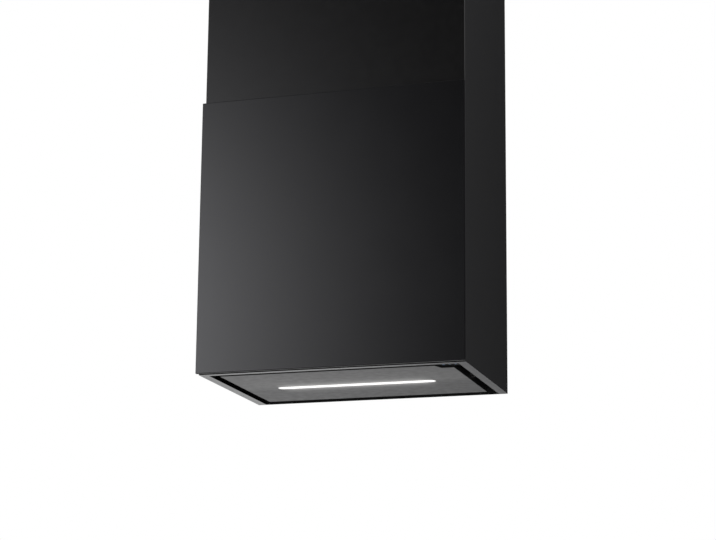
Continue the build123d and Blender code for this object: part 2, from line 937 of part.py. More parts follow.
# Latch: a tongue through the box's front wall, a grip below and a pad for the spring
latch_front = box_front - latch_reach
latch_back = latch_front + latch_body
pad_bottom = latch_bottom - pad_drop
grip_y = latch_back - latch_body / 3
with BuildPart() as filter_latch:
    span((-latch_width / 2, latch_width / 2), (latch_front, latch_back), (latch_bottom, latch_top))
    span(
        (-pad_width / 2, pad_width / 2),
        (latch_back - handle_wall, latch_back),
        (pad_bottom, latch_top),
    )
    span(
        (-grip_width / 2, grip_width / 2),
        (grip_y, grip_y + grip_depth),
        (latch_bottom - grip_drop, latch_top),
    )

# Housing of the latch, riveted under the filter
handle_y = (filter_front + handle_front, latch_back + spring_length + handle_wall)
handle_bottom = filter_bottom - handle_height
handle_half = latch_width / 2 + latch_play + handle_wall
with BuildPart() as filter_handle:
    span((-handle_half, handle_half), handle_y, (handle_bottom, filter_bottom))
    span(
        (-handle_half + handle_wall, handle_half - handle_wall),
        (handle_y[0], handle_y[1] - handle_wall),
        (handle_bottom + handle_wall, filter_bottom),
        Mode.SUBTRACT,
    )
    span(
        (-grip_width / 2 - latch_play, grip_width / 2 + latch_play),
        (grip_y - latch_play, grip_y + grip_depth + latch_travel + latch_play),
        (handle_bottom, handle_bottom + handle_wall),
        Mode.SUBTRACT,
    )

# Coil spring between the latch's pad and the end of the housing
spring_height = (pad_bottom + latch_top) / 2
spring_start = latch_back + closed_gap + spring_wire / 2
spring_run = spring_length - 2 * closed_gap - spring_wire
spring_rise = spring_run / (2 * pi * spring_turns)
coil_radius = spring_radius - spring_wire / 2


def coil_step(angle):
    """Where the spring's centre line is, and where it heads, after turning through the angle."""
    across = coil_radius * cos(angle)
    up = coil_radius * sin(angle)
    place = Vector(across, spring_start + spring_rise * angle, spring_height + up)
    return place, Vector(-up, spring_rise, across).normalized()


with BuildPart() as latch_spring:
    with BuildLine() as coil:
        for half_turn in range(2 * spring_turns):
            # Two arcs for each half turn; equal tangents make them meet smoothly
            first, leaving = coil_step(half_turn * pi)
            last, arriving = coil_step((half_turn + 1) * pi)
            along = (last - first).dot(leaving + arriving)
            bend = 2 - 2 * leaving.dot(arriving)
            reach = ((along**2 + bend * (last - first).length ** 2) ** 0.5 - along) / bend
            middle = (first + leaving * reach + last - arriving * reach) * 0.5
            near_arc = TangentArc(first, middle, tangent=leaving)
            TangentArc(middle, last, tangent=near_arc % 1)
    with BuildSketch(Plane(origin=coil.line @ 0, z_dir=coil.line % 0)):
        Circle(spring_wire / 2)
    sweep(path=coil.line)

# ---------------------------------------------------------------- blower
def scroll_face(grow, rise):
    """The spiral of the blower with its outlet upwards, in the open sketch; grow widens it by the wall."""
    half = scroll_growth / 2
    with BuildLine() as spiral:
        start = CenterArc((-half, half), scroll_radius, tongue_angle, 90 - tongue_angle)
        CenterArc((-half, -half), scroll_radius + scroll_growth, 90, 90)
        CenterArc((half, -half), scroll_radius + 2 * scroll_growth, 180, 90)
        last = CenterArc((half, half), scroll_radius + 3 * scroll_growth, 270, 90)
        outer_side = Line(last @ 1, ((last @ 1).X, rise))
        top = Line(outer_side @ 1, ((start @ 0).X, rise))
        Line(top @ 1, start @ 0)
    make_face(spiral.edges())
    if grow:
        offset(amount=grow)


# Room between the axis and the front of the box, which cuts the rib short
front_room = -box_inside_front - blower_setback


def scroll_half_shell(side):
    """One half of the blower's housing, with its inlet."""
    cheek = side * (scroll_half + scroll_wall)
    with BuildPart() as shell:
        with BuildSketch(blower_axis):
            scroll_face(scroll_wall, throat_rise)
            with Locations((0, throat_rise + scroll_wall)):
                Rectangle(
                    4 * scroll_radius, 2 * scroll_wall, mode=Mode.SUBTRACT
                )
        extrude(amount=cheek)
        # Rib along the seam
        with BuildSketch(blower_axis):
            scroll_face(scroll_wall + scroll_rib, throat_rise - scroll_rib)
            with Locations((0, throat_rise)):
                Rectangle(4 * scroll_radius, 2 * collar_flange, mode=Mode.SUBTRACT)
            with Locations((-front_room - scroll_rib, 0)):
                Rectangle(2 * scroll_rib, 4 * scroll_radius, mode=Mode.SUBTRACT)
        extrude(amount=side * scroll_wall)
        with BuildSketch(blower_axis):
            scroll_face(0, throat_rise)
        extrude(amount=side * scroll_half, mode=Mode.SUBTRACT)
        # Inlet with a rolled lip
        cheek_plane = blower_axis.offset(cheek)
        with BuildSketch(cheek_plane):
            Circle(inlet_radius + inlet_lip_wall)
        extrude(amount=side * inlet_lip)
        with BuildSketch(cheek_plane.offset(side * inlet_lip)):
            Circle(inlet_radius)
        extrude(amount=-side * (inlet_lip + scroll_wall), mode=Mode.SUBTRACT)
    return shell


scroll_left = scroll_half_shell(-1)
scroll_right = scroll_half_shell(1)

# Forward-curved blades between two rings and a middle plate
blade_inner = wheel_radius - wheel_ring
with BuildSketch(Plane.XY) as blade:
    with BuildLine():
        inner_tip = (blade_inner, 0)
        outer_tip = (wheel_radius - blade_thickness, blade_lead)
        bow_point = ((blade_inner + wheel_radius) / 2, blade_bow)
        ThreePointArc(inner_tip, bow_point, outer_tip)
        Line(outer_tip, (outer_tip[0], outer_tip[1] - blade_thickness))
        ThreePointArc(
            (outer_tip[0], outer_tip[1] - blade_thickness),
            (bow_point[0], bow_point[1] - blade_thickness),
            (inner_tip[0], inner_tip[1] - blade_thickness),
        )
        Line((inner_tip[0], inner_tip[1] - blade_thickness), inner_tip)
    make_face()
with BuildPart() as impeller:
    with BuildSketch(blower_axis.offset(-wheel_width / 2)):
        with PolarLocations(0, blade_count):
            add(blade.sketch)
    extrude(amount=wheel_width)
    for start in (-wheel_width / 2, wheel_width / 2 - wheel_plate):
        with BuildSketch(blower_axis.offset(start)):
            Circle(wheel_radius)
            Circle(blade_inner - blade_thickness, mode=Mode.SUBTRACT)
        extrude(amount=wheel_plate)
    with BuildSketch(blower_axis.offset(-wheel_plate / 2)):
        Circle(wheel_radius)
    extrude(amount=wheel_plate)
    with BuildSketch(blower_axis.offset(-hub_back)):
        Circle(hub_radius)
    extrude(amount=hub_back + hub_front)
    with BuildSketch(blower_axis.offset(-hub_back)):
        Circle(shaft_radius)
    extrude(amount=hub_back + hub_front, mode=Mode.SUBTRACT)

motor_end = motor_start + motor_length
with BuildPart() as motor_shaft:
    with BuildSketch(blower_axis.offset(-hub_back)):
        Circle(shaft_radius)
    extrude(amount=hub_back + motor_end - bearing_width / 2)

# Motor: a can with a band over the stator, a bored middle and pockets for the bearings
with BuildPart() as motor:
    with BuildSketch(blower_axis.offset(motor_start)):
        Circle(motor_radius)
    extrude(amount=motor_length)
    chamfer(motor.faces().filter_by(GeomType.PLANE).edges(), motor_band / 2)
    with BuildSketch(blower_axis.offset(motor_start + motor_length / 4)):
        Circle(motor_radius + motor_band)
    extrude(amount=motor_length / 2)
    # Ears for the grommets
    with BuildSketch(blower_axis.offset(motor_end - ear_thickness)):
        with PolarLocations(ear_radius, 3, start_angle=90):
            Circle(ear_size)
            with Locations((-ear_size, 0)):
                Rectangle(2 * ear_size, 2 * ear_size)
    extrude(amount=ear_thickness)
    with BuildSketch(blower_axis.offset(motor_start)):
        Circle(shaft_radius + shaft_fit)
    extrude(amount=motor_length - bearing_width / 2, mode=Mode.SUBTRACT)
    for start in (motor_start, motor_end - 2 * bearing_width):
        with BuildSketch(blower_axis.offset(start)):
            Circle(bearing_radius)
        extrude(amount=bearing_width, mode=Mode.SUBTRACT)

with BuildPart() as motor_bearings:
    for start in (motor_start, motor_end - 2 * bearing_width):
        with BuildSketch(blower_axis.offset(start)):
            Circle(bearing_radius)
            Circle(shaft_radius + shaft_fit, mode=Mode.SUBTRACT)
        extrude(amount=bearing_width)

# Rubber rings between the motor's ears and the arms
with BuildPart() as motor_grommets:
    with BuildSketch(blower_axis.offset(motor_end)):
        with PolarLocations(ear_radius, 3, start_angle=90):
            Circle(grommet_radius)
            Circle(screw_shank_radius + screw_play, mode=Mode.SUBTRACT)
    extrude(amount=grommet_height)

# Three arms from the right inlet to the motor
ring_start = scroll_half + scroll_wall
arm_end = motor_end + grommet_height
ring_inner = inlet_radius + inlet_lip_wall + screw_play
with BuildPart() as motor_bracket:
    with BuildSketch(blower_axis.offset(ring_start)):
        Circle(ring_inner + bracket_ring)
        Circle(ring_inner, mode=Mode.SUBTRACT)
    extrude(amount=arm_sheet)
    with BuildSketch(blower_axis.offset(ring_start)):
        with PolarLocations(ring_inner + bracket_ring - arm_sheet / 2, 3, start_angle=90):
            Rectangle(arm_sheet, arm_width)
    extrude(amount=arm_end + arm_sheet - ring_start)
    with BuildSketch(blower_axis.offset(arm_end)):
        arm_inner = ear_radius - ear_size
        arm_outer = ring_inner + bracket_ring
        with PolarLocations((arm_inner + arm_outer) / 2, 3, start_angle=90):
            Rectangle(arm_outer - arm_inner, arm_width)
        with PolarLocations(ear_radius, 3, start_angle=90):
            Circle(screw_shank_radius + screw_play, mode=Mode.SUBTRACT)
    extrude(amount=arm_sheet)

# ---------------------------------------------------------------- outlet collar and flaps
throat_middle = (throat_front + throat_back) / 2
throat_size = (2 * throat_half, throat_back - throat_front)
collar_bottom = lid_top + duct_rise
collar_inner = collar_radius - collar_wall
flap_z = collar_bottom + flap_height
with BuildPart() as outlet_collar:
    # Flange on the lid
    with BuildSketch(Plane.XY.offset(lid_top)):
        with Locations((0, throat_middle)):
            Rectangle(throat_size[0] + 2 * collar_flange, throat_size[1] + 2 * collar_flange)
    extrude(amount=collar_flange_sheet)
    # Hood from the blower's rectangle to the round duct, then the collar
    with BuildSketch(Plane.XY.offset(lid_top)):
        with Locations((0, throat_middle)):
            RectangleRounded(
                throat_size[0] + 2 * collar_wall,
                throat_size[1] + 2 * collar_wall,
                3 * collar_wall,
            )
    with BuildSketch(Plane.XY.offset(collar_bottom)):
        with Locations((0, -collar_setback)):
            Circle(collar_radius)
    loft()
    with BuildSketch(Plane.XY.offset(collar_bottom)):
        with Locations((0, -collar_setback)):
            Circle(collar_radius)
    extrude(amount=collar_height)
    with BuildSketch(Plane.XY.offset(lid_top)):
        with Locations((0, throat_middle)):
            RectangleRounded(*throat_size, 2 * collar_wall)
    with BuildSketch(Plane.XY.offset(collar_bottom)):
        with Locations((0, -collar_setback)):
            Circle(collar_inner)
    loft(mode=Mode.SUBTRACT)
    with BuildSketch(Plane.XY.offset(collar_bottom)):
        with Locations((0, -collar_setback)):
            Circle(collar_inner)
    extrude(amount=collar_height, mode=Mode.SUBTRACT)
    # Ledge that the closed flaps rest on
    with BuildSketch(Plane.XY.offset(flap_z - flap_thickness / 2 - closed_gap - collar_wall)):
        with Locations((0, -collar_setback)):
            Circle(collar_inner)
            Circle(collar_inner - stop_width, mode=Mode.SUBTRACT)
    extrude(amount=collar_wall)
    # Holes for the pin
    pin_plane = Plane(
        origin=(0, -collar_setback, flap_z), x_dir=(0, 1, 0), z_dir=(1, 0, 0)
    )
    with BuildSketch(pin_plane.offset(-collar_radius)):
        Circle(damper_pin_radius)
    extrude(amount=2 * collar_radius, mode=Mode.SUBTRACT)

with BuildPart() as damper_pin:
    with BuildSketch(pin_plane.offset(-collar_radius)):
        Circle(damper_pin_radius)
    extrude(amount=2 * collar_radius)


def flap(side, knuckle_starts):
    """Half-round flap on the front (-1) or rear (1) side of the pin, with its knuckles."""
    flap_radius = collar_inner - flap_clearance
    with BuildPart() as piece:
        with BuildSketch(Plane.XY.offset(flap_z - flap_thickness / 2)):
            with Locations((0, -collar_setback)):
                Circle(flap_radius)
            near = -collar_setback + side * flap_start
            far = near - side * 2 * flap_radius
            with Locations((0, (near + far) / 2)):
                Rectangle(2 * flap_radius + 1, abs(far - near), mode=Mode.SUBTRACT)
        extrude(amount=flap_thickness)
        for start in knuckle_starts:
            tab = sorted((-collar_setback, -collar_setback + side * (flap_start + flap_thickness)))
            span(
                (start, start + knuckle_length),
                tab,
                (flap_z - flap_thickness / 2, flap_z + flap_thickness / 2),
            )
            with BuildSketch(pin_plane.offset(start)):
                Circle(knuckle_radius)
            extrude(amount=knuckle_length)
            with BuildSketch(pin_plane.offset(start)):
                Circle(damper_pin_radius + damper_pin_fit)
            extrude(amount=knuckle_length, mode=Mode.SUBTRACT)
    return piece


knuckle_step = knuckle_length + flap_clearance
flap_front = flap(-1, (-2 * knuckle_step, knuckle_step))
flap_rear = flap(1, (-knuckle_step + flap_clearance / 2, 2 * knuckle_step + flap_clearance / 2))

# ---------------------------------------------------------------- electrical parts on the lid
electric_top = lid_top + electric_height
cover_top = electric_top + electric_wall
gland_place = (sum(electric_x) / 2, sum(electric_y) / 2)
with BuildPart() as electronics_box:
    span(electric_x, electric_y, (lid_top, electric_top))
    span(
        (electric_x[0] + electric_wall, electric_x[1] - electric_wall),
        (electric_y[0] + electric_wall, electric_y[1] - electric_wall),
        (lid_top + electric_wall, electric_top),
        Mode.SUBTRACT,
    )
    # Entry of the motor's lead through the floor
    with BuildSketch(Plane.XY.offset(lid_top)):
        with Locations((motor_lead_x, motor_lead_y)):
            Circle(lead_hole_radius)
    extrude(amount=electric_wall, mode=Mode.SUBTRACT)

with BuildPart() as electronics_cover:
    span(electric_x, electric_y, (electric_top, cover_top))
    lip = electric_wall + screw_play
    span(
        (electric_x[0] + lip, electric_x[1] - lip),
        (electric_y[0] + lip, electric_y[1] - lip),
        (electric_top - cover_height, electric_top),
    )
    span(
        (electric_x[0] + lip + electric_wall, electric_x[1] - lip - electric_wall),
        (electric_y[0] + lip + electric_wall, electric_y[1] - lip - electric_wall),
        (electric_top - cover_height, electric_top),
        Mode.SUBTRACT,
    )
    with BuildSketch(Plane.XY.offset(cover_top)):
        with Locations(gland_place):
            Circle(gland_bore_radius + electric_wall)
    extrude(amount=-electric_wall, mode=Mode.SUBTRACT)

# Board on four posts, with a relay, a transformer and a heat sink as plain blocks
board_z = lid_top + electric_wall + board_standoff
board_x = (electric_x[0] + 2 * lead_hole_radius + electric_wall, electric_x[1] - 4 * electric_wall)
board_y = (electric_y[0] + 2 * electric_wall, electric_y[1] - 2 * electric_wall)
with BuildPart() as control_board:
    span(board_x, board_y, (board_z, board_z + board_thickness))
    board_middle = (sum(board_x) / 2, sum(board_y) / 2)
    post_room = (
        board_x[1] - board_x[0] - 4 * electric_wall,
        board_y[1] - board_y[0] - 4 * electric_wall,
    )
    with BuildSketch(Plane.XY.offset(lid_top + electric_wall)):
        with Locations(board_middle):
            with GridLocations(*post_room, 2, 2):
                Circle(electric_wall)
    extrude(amount=board_standoff)
    with BuildSketch(Plane.XY.offset(board_z + board_thickness)):
        with Locations(board_middle):
            with GridLocations(post_room[0] / 2, 1, 2, 1):
                Rectangle(2 * board_standoff, 3 * board_standoff)
    extrude(amount=2 * board_standoff)

with BuildPart() as terminal_block:
    block_x = (board_x[1] - terminal_depth, board_x[1])
    block_y = (
        board_middle[1] - terminal_count * terminal_pitch / 2,
        board_middle[1] + terminal_count * terminal_pitch / 2,
    )
    block_z = (board_z + board_thickness, board_z + board_thickness + terminal_height)
    span(block_x, block_y, block_z)
    with BuildSketch(Plane.XY.offset(block_z[1])):
        with Locations((sum(block_x) / 2, board_middle[1])):
            with GridLocations(1, terminal_pitch, 1, terminal_count):
                Circle(terminal_pitch / 4)
    extrude(amount=-terminal_height / 2, mode=Mode.SUBTRACT)

# Gland for the supply cable, which leaves upwards through the chimney
with BuildPart() as cable_gland:
    with BuildSketch(Plane.XY.offset(cover_top)):
        with Locations(gland_place):
            RegularPolygon(gland_radius, 6)
    extrude(amount=gland_length / 2)
    with BuildSketch(Plane.XY.offset(cover_top + gland_length / 2)):
        with Locations(gland_place):
            Circle(gland_radius - electric_wall / 2)
    extrude(amount=gland_length / 2, taper=gland_taper)
    with BuildSketch(Plane.XY.offset(electric_top)):
        with Locations(gland_place):
            Circle(gland_bore_radius + electric_wall - screw_play)
    extrude(amount=electric_wall)
    with BuildSketch(Plane.XY.offset(electric_top)):
        with Locations(gland_place):
            Circle(gland_bore_radius)
    extrude(amount=electric_wall + gland_length, mode=Mode.SUBTRACT)

# Motor capacitor in its cradle, and the driver of the lamp
capacitor_x = electric_x[0] - 2 * electric_right - capacitor_length
capacitor_z = lid_top + capacitor_radius
capacitor_y = electric_y[0] + capacitor_radius
with BuildPart() as capacitor:
    with BuildSketch(Plane.YZ.offset(capacitor_x)):
        with Locations((capacitor_y, capacitor_z)):
            Circle(capacitor_radius)
    extrude(amount=capacitor_length)
    fillet(capacitor.faces().sort_by(Axis.X)[0].edges(), electric_wall)
    span(
        (capacitor_x + electric_wall, capacitor_x + capacitor_length / 2),
        (capacitor_y - capacitor_radius / 2, capacitor_y + capacitor_radius / 2),
        (lid_top, lid_top + capacitor_radius / 2),
    )

driver_x = (-box_half + electric_right, -box_half + electric_right + driver_length)
driver_y = (electric_y[0], electric_y[0] + driver_width)
with BuildPart() as led_driver:
    span(driver_x, driver_y, (lid_top, lid_top + driver_height))
    fillet(led_driver.edges().filter_by(Axis.Z), electric_wall)
    foot_length = 2 * electric_wall + screw_head_radius
    span(
        (driver_x[0] - foot_length, driver_x[1] + foot_length),
        (sum(driver_y) / 2 - foot_length, sum(driver_y) / 2 + foot_length),
        (lid_top, lid_top + electric_wall),
    )

# ---------------------------------------------------------------- hanging
trough_top = rail_bottom + rail_sheet
with BuildPart() as wall_rail:
    rail_x = (-rail_length / 2, rail_length / 2)
    span(rail_x, (-rail_sheet, 0), (rail_bottom, rail_bottom + rail_height))
    span(rail_x, (-rail_trough, 0), (rail_bottom, trough_top))
    span(rail_x, (-rail_trough, -rail_trough + rail_sheet), (rail_bottom, rail_bottom + rail_lip))
    with BuildSketch(Plane.XZ):
        with Locations((0, rail_bottom + rail_height - rail_hole_drop)):
            with GridLocations(rail_hole_spread, 1, 2, 1):
                Circle(rail_hole_radius)
    extrude(amount=rail_sheet, mode=Mode.SUBTRACT)

# Hooks on the back of the box; their turned-down lips stand in the rail's trough
hook_lip = (-rail_sheet - hanger_play - rail_sheet, -rail_sheet - hanger_play)
bridge_z = trough_top + hanger_rise
hanger_back = -box_back_gap + rail_sheet
with BuildPart() as hanger_hooks:
    for x in (-hanger_spread / 2, hanger_spread / 2):
        x_span = (x - hanger_width / 2, x + hanger_width / 2)
        span(x_span, (box_back, hanger_back), (box_top - hanger_overlap, bridge_z))
        span(x_span, (box_back, hook_lip[1]), (bridge_z, bridge_z + rail_sheet))
        span(x_span, hook_lip, (trough_top, bridge_z + rail_sheet))

# ---------------------------------------------------------------- upper chimney
sleeve_back = -sleeve_back_gap
with BuildPart() as chimney_sleeve:
    with BuildSketch(Plane.XY.offset(sleeve_bottom)) as sleeve_section:
        with Locations((0, (sleeve_front + sleeve_back) / 2)):
            Rectangle(2 * sleeve_half, sleeve_back - sleeve_front)
        fillet(sleeve_section.vertices().group_by(Axis.Y)[0], fold_radius)
        with Locations((0, (sleeve_front + sleeve_back) / 2)):
            Rectangle(
                2 * (sleeve_half - sleeve_sheet),
                sleeve_back - sleeve_front - 2 * sleeve_sheet,
                mode=Mode.SUBTRACT,
            )
        with Locations((0, sleeve_back - sleeve_sheet / 2)):
            Rectangle(
                2 * (sleeve_half - sleeve_return), sleeve_sheet, mode=Mode.SUBTRACT
            )
    extrude(amount=sleeve_height)

# Strap across the sleeve's back, its middle pressed out to the wall
strap_z = (sleeve_top - strap_drop - strap_height, sleeve_top - strap_drop)
strap_back = sleeve_back - sleeve_sheet
strap_middle = half_width - rear_return - strap_play
with BuildPart() as chimney_bracket:
    span((-strap_middle, strap_middle), (-strap_sheet, 0), strap_z)
    for side in (-1, 1):
        step = sorted((side * (strap_middle - strap_sheet), side * strap_middle))
        wing = sorted((side * (strap_middle - strap_sheet), side * (sleeve_half - strap_play)))
        span(step, (strap_back - strap_sheet, 0), strap_z)
        span(wing, (strap_back - strap_sheet, strap_back), strap_z)
    with BuildSketch(Plane.XZ):
        with Locations((0, sum(strap_z) / 2)):
            with GridLocations(strap_slot_spread, 1, 2, 1):
                SlotOverall(strap_slot_length, 2 * strap_slot_radius)
    extrude(amount=strap_sheet, mode=Mode.SUBTRACT)

# Glide pads inside the casing's upper edge
glide_thickness = sleeve_gap - glide_gap
glide_z = (casing_height - glide_drop - glide_height, casing_height - glide_drop)
with BuildPart() as sleeve_glides:
    for y in (-body_depth / 4, -3 * body_depth / 4):
        for side in (-1, 1):
            pad = sorted((side * (inner_half - glide_thickness), side * inner_half))
            span(pad, (y - glide_width / 2, y + glide_width / 2), glide_z)
    for x in (-body_width / 4, body_width / 4):
        span(
            (x - glide_width / 2, x + glide_width / 2),
            (front_inside, front_inside + glide_thickness),
            glide_z,
        )

# ---------------------------------------------------------------- leads
# Lead of the keys: up from the pod, beside the box, into the electronics box
key_lead_start = board_bottom + board_thickness
key_lead_x = pod_right - 2 * pod_wall - lead_radius
key_lead_y = rim_front + 2 * pod_wall + lead_radius
key_lead = lead(
    [
        (key_lead_x, key_lead_y, key_lead_start),
        (key_lead_x, key_lead_y, (key_lead_start + intake_top) / 2),
        (lead_hole_x, lead_hole_front, intake_top + rim_height),
        (lead_hole_x, lead_hole_front, electric_top - 2 * cover_height),
        (lead_hole_x, electric_y[0] + 3 * cover_height, electric_top - 2 * cover_height),
        (electric_x[1], electric_y[0] + 3 * cover_height, electric_top - 2 * cover_height),
    ],
    [lead_bend, lead_wide_bend, lead_bend, lead_bend],
    lead_radius,
)

# Lead of the motor: from its end cap up through the lid
motor_lead = lead(
    [
        (motor_end, -blower_setback + motor_radius / 3, blower_height + motor_radius / 2),
        (
            motor_lead_x + 4 * lead_radius,
            -blower_setback + motor_radius / 3,
            blower_height + motor_radius / 2,
        ),
        (motor_lead_x, motor_lead_y, blower_height + 2 * motor_radius),
        (motor_lead_x, motor_lead_y, lid_top + electric_wall),
    ],
    [lead_bend, lead_wide_bend],
    lead_radius,
)

# Lead of the lamp in two lengths that meet inside the hollow hinge pin, where the panel turns
meeting_x = -arm_x
lamp_lead_panel = lead(
    [
        (-lamp_half, -lamp_setback, lead_height),
        (-lamp_half - lamp_end, -lamp_setback, lead_height),
        (-pin_inner + 8 * lamp_lead_radius, hinge_y, hinge_height),
        (meeting_x, hinge_y, hinge_height),
    ],
    [lamp_lead_bend, lamp_lead_bend],
    lamp_lead_radius,
)
lamp_lead_body = lead(
    [
        (meeting_x, hinge_y, hinge_height),
        (-lead_hole_x, hinge_y, hinge_height),
        (-lead_hole_x, hinge_y, lid_top + driver_height / 2),
        (-lead_hole_x, sum(driver_y) / 2, lid_top + driver_height / 2),
        (driver_x[0], sum(driver_y) / 2, lid_top + driver_height / 2),
    ],
    [lamp_lead_bend, lead_bend, lead_bend],
    lamp_lead_radius,
)

# ---------------------------------------------------------------- screws
blower_screws = screws(
    [
        (
            arm_end + arm_sheet,
            -blower_setback + ear_radius * cosine,
            blower_height + ear_radius * sine,
        )
        for cosine, sine in ((0, 1), (-(3**0.5) / 2, -0.5), (3**0.5 / 2, -0.5))
    ],
    (-1, 0, 0),
)

for label, piece in {
    "outer_casing": outer_casing,
    "front_glass": front_glass,
    "glass_carrier": glass_carrier,
    "glass_hooks": glass_hooks,
    "back_panel": back_panel,
    "rim_frame": rim_frame,
    "intake_plate": intake_plate,
    "suction_panel": suction_panel,
    "panel_hinge_arms": panel_hinge_arms,
    "hinge_brackets": hinge_brackets,
    "hinge_pins": hinge_pins,
    "panel_magnets": panel_magnets,
    "side_clips": side_clips,
    "lamp_housing": lamp_housing,
    "lamp_diffuser": lamp_diffuser,
    "lamp_board": lamp_board,
    "key_pod": key_pod,
    "key_board": key_board,
    "key_power": key_power,
    "key_speed": key_speed,
    "key_light": key_light,
    "motor_box": motor_box,
    "box_lid": box_lid,
    "box_brackets": box_brackets,
    "filter_seat": filter_seat,
    "filter_rest": filter_rest,
    "filter_frame": filter_frame,
    "filter_mesh": filter_mesh,
    "filter_latch": filter_latch,
    "filter_handle": filter_handle,
    "latch_spring": latch_spring,
    "scroll_left": scroll_left,
    "scroll_right": scroll_right,
    "impeller": impeller,
    "motor_shaft": motor_shaft,
    "motor": motor,
    "motor_bearings": motor_bearings,
    "motor_grommets": motor_grommets,
    "motor_bracket": motor_bracket,
    "outlet_collar": outlet_collar,
    "damper_pin": damper_pin,
    "flap_front": flap_front,
    "flap_rear": flap_rear,
    "electronics_box": electronics_box,
    "electronics_cover": electronics_cover,
    "control_board": control_board,
    "terminal_block": terminal_block,
    "cable_gland": cable_gland,
    "capacitor": capacitor,
    "led_driver": led_driver,
    "wall_rail": wall_rail,
    "hanger_hooks": hanger_hooks,
    "chimney_sleeve": chimney_sleeve,
    "chimney_bracket": chimney_bracket,
    "sleeve_glides": sleeve_glides,
    "key_lead": key_lead,
    "motor_lead": motor_lead,
    "lamp_lead_panel": lamp_lead_panel,
    "lamp_lead_body": lamp_lead_body,
    "blower_screws": blower_screws,
}.items():
    piece.part.label = label
    export_step(piece.part, f"parts/{label}.step")
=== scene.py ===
import json
import math

import bmesh
import bpy
from bpy.props import FloatProperty, FloatVectorProperty, IntProperty, PointerProperty
from mathutils import Matrix, Vector


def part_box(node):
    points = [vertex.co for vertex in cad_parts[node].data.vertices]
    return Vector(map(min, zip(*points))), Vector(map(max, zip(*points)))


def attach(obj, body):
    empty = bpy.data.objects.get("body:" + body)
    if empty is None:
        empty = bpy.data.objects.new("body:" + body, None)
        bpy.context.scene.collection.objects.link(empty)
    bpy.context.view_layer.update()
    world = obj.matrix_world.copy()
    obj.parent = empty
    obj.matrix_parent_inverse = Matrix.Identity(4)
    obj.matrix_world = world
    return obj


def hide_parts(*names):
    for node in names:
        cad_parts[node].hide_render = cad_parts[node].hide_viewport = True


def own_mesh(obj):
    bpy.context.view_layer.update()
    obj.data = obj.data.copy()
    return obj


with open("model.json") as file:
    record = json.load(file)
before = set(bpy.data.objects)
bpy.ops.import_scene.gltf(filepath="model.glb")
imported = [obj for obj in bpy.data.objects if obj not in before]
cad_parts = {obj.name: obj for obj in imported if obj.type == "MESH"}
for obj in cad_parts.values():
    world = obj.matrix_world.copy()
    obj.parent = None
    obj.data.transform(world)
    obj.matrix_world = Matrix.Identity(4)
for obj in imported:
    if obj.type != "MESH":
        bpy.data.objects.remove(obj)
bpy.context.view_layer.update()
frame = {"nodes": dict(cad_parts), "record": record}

# Finishes, small parts, lights and camera of a black wall-mounted chimney hood. X runs along the wall,
# +Y points into the wall and +Z up. The wall is the plane y = 0 and z = 0 is the level of the underside.

bl_info = {
    "name": "Chimney hood",
    "version": (1, 0, 0),
    "blender": (4, 5, 0),
    "location": "View3D > Sidebar > Hood",
    "description": "Finishes, small parts, lights and camera for the packed chimney hood",
    "category": "Object",
}

PHOTO_WIDTH = 716
SENSOR_WIDTH = 36.0
SMOOTH_ANGLE = math.radians(35)
# How far the diffuser's flange reaches past the edge of the panel's lamp slot
LAMP_FLANGE = 0.003
LAMP_DIODES = 24
# The wave texture's scale for one band per metre
WAVE_SCALE = math.pi / 10
# Points no further apart than this count as level with each other
NEAR = 0.0001
UP = (0, 0, 1)
DOWN = (0, 0, -1)


# ---------------------------------------------------------------- settings
class HoodSizes(bpy.types.PropertyGroup):
    """Sizes of the small parts that are made here."""

    glass_corner: FloatProperty(
        name="Glass corner", description="Radius of the glass's corners", default=0.0012, unit="LENGTH"
    )
    glass_arris: FloatProperty(
        name="Glass arris", description="Width of the ground front edge", default=0.001, unit="LENGTH"
    )
    screw_head: FloatProperty(
        name="Screw head", description="Radius of a pan head", default=0.0036, unit="LENGTH"
    )
    screw_rise: FloatProperty(
        name="Screw rise", description="Height of a pan head", default=0.0021, unit="LENGTH"
    )
    collar_sheet: FloatProperty(
        name="Collar flange", description="Thickness of the collar's flange", default=0.0025, unit="LENGTH"
    )
    rivet_head: FloatProperty(
        name="Rivet head", description="Radius of a rivet's dome", default=0.0026, unit="LENGTH"
    )
    cell_length: FloatProperty(
        name="Cell length", description="Long pitch of the expanded mesh", default=0.010, unit="LENGTH"
    )
    cell_width: FloatProperty(
        name="Cell width", description="Short pitch of the expanded mesh", default=0.005, unit="LENGTH"
    )
    strand: FloatProperty(
        name="Strand", description="Width of a strand of the expanded mesh", default=0.0009, unit="LENGTH"
    )
    spring_wire: FloatProperty(
        name="Spring wire", description="Thickness of the spring's wire", default=0.0008, unit="LENGTH"
    )
    spring_turns: IntProperty(name="Spring turns", description="Turns of the latch spring", default=7)
    mark_radius: FloatProperty(
        name="Mark radius", description="Radius of a lit mark", default=0.0017, unit="LENGTH"
    )
    mark_line: FloatProperty(
        name="Mark line", description="Line width of a lit mark", default=0.0004, unit="LENGTH"
    )


